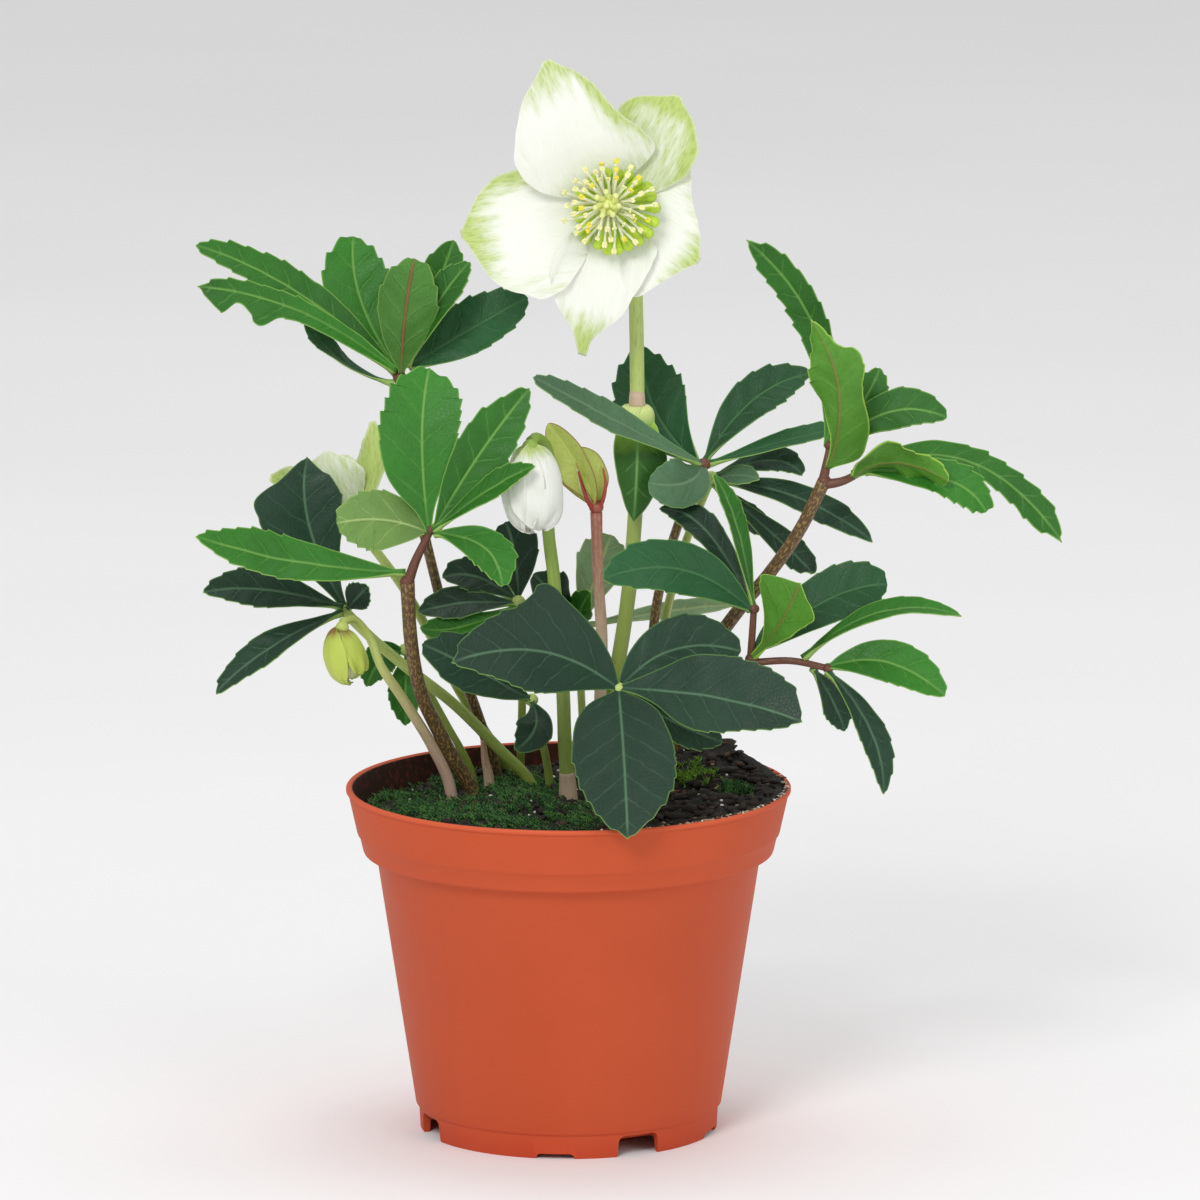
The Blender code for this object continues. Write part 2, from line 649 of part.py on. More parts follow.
def lathe(name, profile, colour, sides=ROUND_SIDES):
    """A turned solid from a profile of (radius, height) that starts and ends on the axis."""
    shape = bmesh.new()
    verts = [shape.verts.new((radius, 0, height)) for radius, height in profile]
    edges = [shape.edges.new(pair) for pair in zip(verts, verts[1:])]
    bmesh.ops.spin(
        shape,
        geom=verts + edges,
        cent=(0, 0, 0),
        axis=(0, 0, 1),
        angle=2 * math.pi,
        steps=sides,
        use_merge=True,
    )
    bmesh.ops.remove_doubles(shape, verts=shape.verts, dist=0.001)
    bmesh.ops.recalc_face_normals(shape, faces=shape.faces)
    mesh = bpy.data.meshes.new(name)
    shape.to_mesh(mesh)
    shape.free()
    return add_object(name, mesh, colour)


def round_body(name, centre, radii, colour, rings=4, sides=6):
    """A ball squashed to three radii."""
    shape = bmesh.new()
    bmesh.ops.create_uvsphere(shape, u_segments=sides, v_segments=rings, radius=1)
    bmesh.ops.scale(shape, vec=radii, verts=shape.verts)
    bmesh.ops.translate(shape, vec=centre, verts=shape.verts)
    mesh = bpy.data.meshes.new(name)
    shape.to_mesh(mesh)
    shape.free()
    return add_object(name, mesh, colour)


def wall_line():
    """(radius, height) of the pot's outer side, from the lip down to the foot."""
    band_low = POT_HEIGHT - BAND_HEIGHT
    step_low = band_low - STEP_HEIGHT
    band_top = RIM_RADIUS - 0.6
    band_foot = band_top - BAND_TAPER
    step_top = band_foot - 0.6
    step_foot = step_top - STEP_TAPER
    return [
        (RIM_RADIUS - 1.1, POT_HEIGHT),
        (RIM_RADIUS, POT_HEIGHT - 0.5),
        (RIM_RADIUS, POT_HEIGHT - LIP_HEIGHT + 0.3),
        (band_top, POT_HEIGHT - LIP_HEIGHT),
        (band_foot, band_low),
        (step_top, band_low - 0.3),
        (step_foot, step_low + 0.4),
        (step_foot - 0.4, step_low),
        (BODY_TOP_RADIUS, step_low - 0.5),
        (BODY_FOOT_RADIUS, FOOT_HEIGHT + 0.4),
        (FOOT_RADIUS + 0.4, FOOT_HEIGHT - 0.1),
        (FOOT_RADIUS, 0.0),
    ]


def inner_radius(height):
    """The radius of the pot's inside at a height."""
    floor_top, ledge = FLOOR_HEIGHT + WALL + 0.1, POT_HEIGHT - BAND_HEIGHT - STEP_HEIGHT
    if height <= ledge:
        share = (height - floor_top) / (ledge - floor_top)
        return (BODY_FOOT_RADIUS - WALL - 0.3) * (1 - share) + (BODY_TOP_RADIUS - WALL) * share
    share = (height - ledge) / (POT_HEIGHT - ledge)
    return (BODY_TOP_RADIUS - WALL + LEDGE) * (1 - share) + (RIM_RADIUS - WALL - 0.5) * share


def build_pot():
    floor_top = FLOOR_HEIGHT + WALL + 0.1
    ledge = POT_HEIGHT - BAND_HEIGHT - STEP_HEIGHT
    under = [
        (FOOT_RADIUS - 1.8, 0.0),
        (FOOT_RADIUS - 2.0, FLOOR_HEIGHT),
        (PAD_RADIUS + 2.0, FLOOR_HEIGHT),
        (PAD_RADIUS, 0.0),
        (0.0, 0.0),
    ]
    inside = [
        (0.0, WALL),
        (PAD_RADIUS - 1.2, WALL),
        (PAD_RADIUS + 0.8, floor_top),
        (inner_radius(floor_top), floor_top),
        (inner_radius(ledge), ledge + 0.6),
        (inner_radius(ledge + 1.0), ledge + 1.4),
        (inner_radius(POT_HEIGHT), POT_HEIGHT - 0.5),
    ]
    profile = wall_line() + under + inside
    pot = lathe("pot", profile + profile[:1], "pot")
    cutters = []
    for angles, (width, height) in ((TALL_NOTCHES, TALL_NOTCH), (LOW_NOTCHES, LOW_NOTCH)):
        for angle in angles:
            cutters.append(notch_cutter(angle, width, height))
    return combine(pot, cutters, "DIFFERENCE")


def notch_cutter(angle, width, height):
    """A block through the foot ring, at an angle from the front towards the right."""
    shape = bmesh.new()
    bmesh.ops.create_cube(shape, size=1)
    bmesh.ops.scale(shape, vec=(width, 14, height + 2), verts=shape.verts)
    bmesh.ops.translate(shape, vec=(0, -FOOT_RADIUS - 2.5, height / 2 - 1), verts=shape.verts)
    for vert in shape.verts:
        if vert.co.z < 0:
            vert.co.x *= 1.12
    turn = Matrix.Rotation(math.radians(angle), 3, "Z")
    bmesh.ops.rotate(shape, cent=(0, 0, 0), matrix=turn, verts=shape.verts)
    mesh = bpy.data.meshes.new("notch")
    shape.to_mesh(mesh)
    shape.free()
    return add_object("notch", mesh, "pot")


def soil_height(x, y):
    """The uneven top of the soil: a mound at the front left, a heap at the back right."""
    height = SOIL_LEVEL
    height += 3.6 * math.exp(-((x + 14) ** 2 + (y + 26) ** 2) / 900)
    height += 5.5 * math.exp(-((x - 30) ** 2 + (y - 36) ** 2) / 500)
    height -= 3.0 * math.exp(-((x + 44) ** 2 + (y - 22) ** 2) / 500)
    height += 1.2 * noise(Vector((x, y, SEED)) / 9)
    return height


def wall_reach(ray):
    """How far the soil's top reaches along this direction: to just inside the pot's wall."""
    reach = inner_radius(SOIL_LEVEL)
    for _ in range(4):
        reach = inner_radius(soil_height(*(ray * reach))) - GAP - 0.1
    return reach


def build_soil(holes):
    """The soil to the pot's inside, less a plain hole for each stem."""
    ledge = POT_HEIGHT - BAND_HEIGHT - STEP_HEIGHT
    floor_top = FLOOR_HEIGHT + WALL + 0.1 + GAP
    sides = [
        (inner_radius(ledge + 1.0) - GAP - 0.1, ledge + 1.4),
        (inner_radius(ledge) - GAP - 0.1, ledge + 0.6),
        (inner_radius(floor_top) - GAP - 0.1, floor_top),
        (PAD_RADIUS + 0.6, floor_top),
        (PAD_RADIUS - 1.6, WALL + GAP),
    ]
    rings = [(radius, None) for radius in SOIL_RINGS] + [(None, None)] + sides
    verts = [Vector((0, 0, soil_height(0, 0)))]
    for radius, height in rings:
        for side in range(ROUND_SIDES):
            angle = 2 * math.pi * side / ROUND_SIDES
            ray = Vector((math.cos(angle), math.sin(angle)))
            reach = radius or wall_reach(ray)
            x, y = ray * reach
            verts.append(Vector((x, y, soil_height(x, y) if height is None else height)))
    verts.append(Vector((0, 0, WALL + GAP)))
    faces = []
    for side in range(ROUND_SIDES):
        after = (side + 1) % ROUND_SIDES
        faces.append((0, 1 + side, 1 + after))
        for ring in range(len(rings) - 1):
            start = 1 + ring * ROUND_SIDES
            below = start + ROUND_SIDES
            faces.append((start + side, below + side, below + after, start + after))
        last = 1 + (len(rings) - 1) * ROUND_SIDES
        faces.append((last + side, len(verts) - 1, last + after))
    soil = from_faces("soil", verts, faces, "soil")
    return combine(soil, holes, "DIFFERENCE")


def stem_and_hole(name, stem, radii, colour, sides=6):
    """A stalk that starts in the soil, and the slightly wider and deeper hole that it stands in."""
    points = [seen(*place) for place in stem]
    down = ((points[0] - points[1]).normalized() + Vector((0, 0, -1.2))).normalized()
    body = tube(name, [points[0] + down * STEM_IN_SOIL, *points], radii, colour, sides)
    wide = tuple(radius + GAP for radius in radii)
    bottom = points[0] + down * (STEM_IN_SOIL + GAP)
    hole = tube(name + "_hole", [bottom, *points], wide, colour, sides)
    return body, hole


def knuckle(place, colour):
    """The small joint that leaflets grow from."""
    return round_body("knuckle", place, (KNUCKLE, KNUCKLE, KNUCKLE), colour, 3, 6)


def build_leaf(name, leaf):
    """The leaf as one body, and the hole for its stalk."""
    body, hole = stem_and_hole(name, leaf.stem, leaf.radii, leaf.colour)
    pieces = [knuckle(seen(*leaf.stem[-1]), leaf.colour)]
    for branch in leaf.branches:
        points = [seen(*place) for place in branch]
        pieces.append(tube(name + "_branch", points, (leaf.radii[1] * 0.85, 0.9), leaf.colour))
        pieces.append(knuckle(points[-1], leaf.colour))
    for leaflet in leaf.leaflets:
        pieces.append(blade(name + "_leaflet", leaflet, leaf.colour))
    combine(body, pieces, "UNION")
    return hole


def frame_between(top, bottom):
    """A frame whose Z axis runs from bottom to top."""
    up = (top - bottom).normalized()
    right = up.cross(Vector((0, 1, 0))).normalized()
    return Matrix((right, up.cross(right), up)).transposed()


def shell_petal(name, frame, centre, radii, turn, half_angle, scale, colour):
    """A petal lying on a bud: part of an egg's surface, widest below its middle."""
    front, back = [], []
    for v in (0.07, 0.28, 0.5, 0.72, 0.9):
        polar = math.pi * v
        spread = half_angle * math.sin(math.pi * v**0.8) ** 0.6
        row = []
        for u in (1, 0.33, -0.33, -1):
            angle = turn + u * spread
            place = (math.cos(angle) * math.sin(polar), math.sin(angle) * math.sin(polar), math.cos(polar))
            row.append(Vector([part * radius for part, radius in zip(place, radii)]))
        front.append([centre + frame @ (place * scale) for place in row])
        back.append([centre + frame @ (place * (scale - 0.2)) for place in row])
    return solid_sheet(name, front, back, colour)


def closed_bud(name, bud, colour, petals=3, half_angle=1.3):
    """A bud of overlapping petals on a smaller core, from its top, bottom and radius."""
    top, bottom, radius = seen(*bud[0]), seen(*bud[1]), bud[2]
    frame = frame_between(top, bottom)
    centre = (top + bottom) / 2
    radii = (radius, radius, (top - bottom).length / 2)
    core = round_body(name, (0, 0, 0), [part * 0.9 for part in radii], colour, 5, 8)
    core.data.transform(Matrix.Translation(centre * MM) @ frame.to_4x4())
    pieces = []
    for petal in range(petals):
        turn = 2 * math.pi * petal / petals + 0.4
        scale = 1.0 + 0.055 * petal
        pieces.append(shell_petal(name + "_petal", frame, centre, radii, turn, half_angle, scale, colour))
    return combine(core, pieces, "UNION") if pieces else core


def seat(stalk, colour, gap=0.0):
    """The small round base of the flower on this stalk, or its wider copy that cuts the stalk short."""
    place, radii = SEATS[stalk]
    return round_body(stalk + "_seat", seen(*place), [radius + gap for radius in radii], colour)


def build_flower():
    """The open flower: petals on a small cup, and the centre just in front of them."""
    cup = seat("flower_stalk", "petal_white")
    cup.name = "flower_petals"
    combine(cup, [petal_sheet("petal", petal, "petal_white") for petal in PETALS], "UNION")

    middle = seen(*FLOWER_AT)
    frame = frame_between(middle + FLOWER_AXIS, middle)
    draw = random.Random(SEED)
    body = round_body("flower_centre", (0, 0, 0), (6.0, 6.0, 1.6), "flower_centre", 4, 8)
    body.data.transform(Matrix.Translation(middle * MM) @ frame.to_4x4())
    pieces = []

    def at(angle, out, forward):
        return middle + frame @ Vector((math.cos(angle) * out, math.sin(angle) * out, forward))

    for nectary in range(NECTARIES):
        angle = 2 * math.pi * nectary / NECTARIES
        points = [at(angle, 3.5, 0.2), at(angle, 10.0, 3.0)]
        pieces.append(tube("nectary", points, (0.8, 1.4), "petal_green", 4))
    for stamen in range(STAMENS):
        angle = 2 * math.pi * (stamen + draw.uniform(-0.3, 0.3)) / STAMENS
        out = draw.uniform(*STAMEN_SPREAD)
        rise = 6.0 + draw.uniform(-1, 1)
        points = [at(angle, 2.4, 0.6), at(angle, out * 0.6, rise * 0.5), at(angle, out, rise)]
        points += [at(angle, out + 0.7, rise + 0.7), at(angle, out + 1.3, rise + 1.3)]
        pieces.append(tube("stamen", points, (0.35, 0.32, 0.32, 0.8, 0.4), "flower_centre", 3))
    for pistil in range(PISTILS):
        angle = 2 * math.pi * pistil / PISTILS
        points = [at(angle, 0.9, 0.3), at(angle, 1.4, 4.5), at(angle, 2.6, 8.0)]
        pieces.append(tube("pistil", points, (0.9, 0.8, 0.3), "petal_green", 4))
    combine(body, pieces, "UNION")


def build_stalk(name, colour, bracts=()):
    """A flower's stalk with its bracts, ended just short of the flower, and the hole for it."""
    body, hole = stem_and_hole(name, STALKS[name], STALK_RADII[name], colour)
    if bracts:
        combine(body, [blade(name + "_bract", bract, "leaf_pale") for bract in bracts], "UNION")
    combine(body, [seat(name, colour, GAP)], "DIFFERENCE")
    return hole


def build_buds():
    """The white bud, the young bud, the bud in its bracts and the flower at the back."""
    bud = closed_bud("bud_petals", BUD, "petal_white")
    combine(bud, [seat("bud_stalk", "petal_green")], "UNION")
    bud = closed_bud("young_bud", YOUNG_BUD, "petal_green", petals=2)
    combine(bud, [seat("young_bud_stem", "petal_green")], "UNION")
    bud = closed_bud("bract_bud", BRACT_BUD, "leaf_pale", petals=0)
    bracts = [blade("bract", bract, "leaf_pale") for bract in BRACTS]
    combine(bud, [seat("bract_bud_stem", "leaf_pale"), *bracts], "UNION")
    back = seat("back_flower_stalk", "petal_green")
    back.name = "back_flower_petals"
    combine(back, [blade("back_petal", petal, "petal_white") for petal in BACK_PETALS], "UNION")


def main():
    clear_scene()
    build_pot()
    holes = [build_leaf(name, leaf) for name, leaf in LEAVES.items()]
    build_flower()
    build_buds()
    holes.append(build_stalk("flower_stalk", "stalk_green", FLOWER_BRACTS))
    holes.append(build_stalk("bud_stalk", "stalk_green"))
    holes.append(build_stalk("bract_bud_stem", "stalk_pink"))
    holes.append(build_stalk("young_bud_stem", "stalk_pink"))
    holes.append(build_stalk("back_flower_stalk", "stalk_green"))
    holes.append(stem_and_hole("shoot", *SHOOT, "stalk_pink")[1])
    build_soil(holes)


main()
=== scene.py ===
"""A white hellebore in leaf, bud and flower, in a terracotta-coloured nursery pot.

Lengths are millimetres until a mesh is made. The plant was measured from the front and a little
from above, so its points are given in that picture plane, and seen() turns them into places.
"""

import json
import math
import random
from dataclasses import dataclass

import bmesh
import bpy
import numpy as np
from bpy.props import FloatProperty, FloatVectorProperty, IntProperty, PointerProperty
from mathutils import Matrix, Vector
from mathutils.noise import noise

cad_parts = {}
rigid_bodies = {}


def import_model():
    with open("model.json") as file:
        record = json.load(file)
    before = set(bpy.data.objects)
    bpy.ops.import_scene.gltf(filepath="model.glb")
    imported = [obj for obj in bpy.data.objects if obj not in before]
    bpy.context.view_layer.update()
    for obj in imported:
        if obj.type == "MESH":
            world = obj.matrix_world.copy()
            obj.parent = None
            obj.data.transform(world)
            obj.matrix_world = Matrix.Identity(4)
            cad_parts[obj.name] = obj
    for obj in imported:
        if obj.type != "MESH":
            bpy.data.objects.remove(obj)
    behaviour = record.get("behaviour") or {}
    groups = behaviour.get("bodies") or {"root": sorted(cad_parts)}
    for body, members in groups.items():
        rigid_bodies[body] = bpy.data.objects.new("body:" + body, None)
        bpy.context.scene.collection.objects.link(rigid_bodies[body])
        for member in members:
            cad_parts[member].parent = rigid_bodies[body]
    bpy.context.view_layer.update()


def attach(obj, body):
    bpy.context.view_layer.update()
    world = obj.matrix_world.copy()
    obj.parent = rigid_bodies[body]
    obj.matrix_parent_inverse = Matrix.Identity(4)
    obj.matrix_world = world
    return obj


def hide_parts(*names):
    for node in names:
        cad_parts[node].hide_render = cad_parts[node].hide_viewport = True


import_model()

bl_info = {
    "name": "Potted hellebore",
    "version": (1, 0, 0),
    "blender": (4, 5, 0),
    "location": "3D View > Sidebar > Hellebore",
    "description": "Builds a white hellebore in its nursery pot over the packed solids",
    "category": "Object",
}

MM = 0.001
SEED = 12

# Pot: 12 cm across its rim. The ledge inside it lies at the lower edge of the step below its band
POT_HEIGHT = 94.0
RIM_RADIUS = 60.0
WALL = 1.3
LIP_HEIGHT = 1.6
BAND_HEIGHT = 12.7
BAND_TAPER = 2.4
BAND_LOW = POT_HEIGHT - BAND_HEIGHT
STEP_HEIGHT = 5.2
STEP_TAPER = 0.9
STEP_LOW = BAND_LOW - STEP_HEIGHT
LEDGE = 3.3
BODY_TOP_RADIUS = 51.8
BODY_FOOT_RADIUS = 41.4
FOOT_HEIGHT = 6.6
FOOT_RADIUS = 40.2
FLOOR_HEIGHT = 4.0
FLOOR_TOP = FLOOR_HEIGHT + WALL + 0.1
PAD_RADIUS = 24.0
POT_STEPS = 180

# Notches through the foot ring: their angles, width and height
NOTCHES = [((28, 118, 208, 292), 11.5, 5.8), ((-5, 73, 163, 253), 10.0, 1.4)]

# A slanting line within the wall of the pot's rim, in metres: what lies nearer the axis is its inside
INNER_SLOPE = 0.246
INNER_WALL = (RIM_RADIUS - WALL - 0.25 - INNER_SLOPE * POT_HEIGHT) * MM

# Soil: its level, the room between it and the pot, and its mounds (x, y, spread, height)
SOIL_LEVEL = 88.0
SOIL_GAP = 0.35
SOIL_SIDES = 200
SOIL_RINGS = 74
SOIL_MOUNDS = [(-14, -26, 900, 3.6), (33, 38, 420, 6.5), (-12, -24, 45, 5.0), (-44, 22, 500, -3.0)]

# Stalks: how deep they run into the soil, the knuckle that leaflets grow from, a leaflet's own stalk
STEM_IN_SOIL = 12.0
KNUCKLE = 2.1
LEAFLET_STALK = 1.8

# Side veins of a leaflet: how far apart they are, and how steeply they run to its tip
VEIN_PITCH = 7.2
VEIN_SLOPE = 0.95

# Steps of a leaf blade: finer where its teeth are, and towards its midrib and edges. The shares of
# its length between which it has teeth, of a tooth at which it is highest, and where it is widest
BLADE_ROWS = np.concatenate([np.linspace(0, 0.38, 20)[:-1], np.linspace(0.38, 1, 76)])
HALF_COLUMNS = np.array([0.1, 0.22, 0.38, 0.56, 0.74, 0.88, 0.965, 1])
BLADE_COLUMNS = np.concatenate([-HALF_COLUMNS[::-1], [0], HALF_COLUMNS])
TEETH_FROM = 0.42
TEETH_TO = 0.985
TOOTH_TOP = 0.82
BLADE_WIDEST = 0.58
LEAST_REACH = 0.12

# Rows and columns of a petal, and of a petal that is wrapped around a bud
PETAL_GRID = (46, 33)
WRAP_GRID = (34, 27)

# The eye that the plant was measured from: it looks along +Y and a little down
VIEW_TILT = math.radians(10.8)
VIEW_DISTANCE = 3000.0
VIEW_OFFSET = (8.5, 49.9)
VIEW_WIDTH = 323.64
SENSOR = 36.0
VIEW_ALONG = Vector((0, math.cos(VIEW_TILT), -math.sin(VIEW_TILT)))
VIEW_UP = Vector((0, math.sin(VIEW_TILT), math.cos(VIEW_TILT)))
RIM_CENTRE = Vector((0, 0, POT_HEIGHT))
EYE = RIM_CENTRE + Vector((VIEW_OFFSET[0], 0, 0)) + VIEW_UP * VIEW_OFFSET[1] - VIEW_ALONG * VIEW_DISTANCE

FRONT = (0.0, -0.97, 0.25)


def seen(across, up, depth):
    """The point seen this far right of and above the rim's centre, this far behind the pot's axis."""
    on_plane = RIM_CENTRE + Vector((across, 0, 0)) + VIEW_UP * up
    ray = on_plane - EYE
    return EYE + ray * ((depth - EYE.y) / ray.y)


def screen(red, green, blue):
    """A screen colour in 0 to 255 as the linear colour that a shader takes."""
    parts = [part / 255 for part in (red, green, blue)]
    return tuple(part / 12.92 if part <= 0.04045 else ((part + 0.055) / 1.055) ** 2.4 for part in parts)


@dataclass
class Leaflet:
    """A blade from base over mid to tip, with the way its upper side faces and its fold in degrees.

    reach gives an uneven blade's reach to either side at even steps of its length, tone how light
    it is from base to tip, and look its colouring if it isn't its leaf's."""

    base: tuple
    mid: tuple
    tip: tuple
    width: float
    face: tuple
    fold: float = 12
    wave: float = 0
    full: float = 0.8
    teeth: int = 2
    tooth: float = 1.0
    reach: tuple = ()
    tone: tuple = ()
    look: str = ""


@dataclass
class Petal:
    """A petal from base over mid to tip, with its reach to either side at even steps of its length.

    green gives how green it is at its left edge, at its tip, at its right edge and all over."""

    base: tuple
    mid: tuple
    tip: tuple
    left: tuple
    right: tuple
    green: tuple
    cup: float
    face: tuple = FRONT


@dataclass
class Leaf:
    """A leaf stalk out of the soil with its radii, its leaflets, and its side branches."""

    stem: list
    radii: tuple
    leaflets: list
    branches: tuple = ()
    colour: str = "dark"
    stem_colour: str = "green"


@dataclass
class Stalk:
    """A flower's or bud's stalk out of the soil with its radii, and the ball that the flower sits on."""

    stem: list
    radii: tuple
    seat: tuple = ()
    seat_radii: tuple = ()


@dataclass
class Bud:
    """A closed bud. Each wrap is a petal: the way it faces in degrees (90 is to the front, 0 to the
    left), half its spread, its size, where it starts and ends, and how far it opens at its end."""

    top: tuple
    bottom: tuple
    radius: float
    wraps: list
    frill: float
    seed: float


@dataclass
class Chip:
    """A kind of chip with its look, its sizes, and how often it lies on the soil and on the rim."""

    name: str
    colour: tuple
    rough: float
    spread: float
    sizes: tuple
    on_soil: int
    on_rim: int


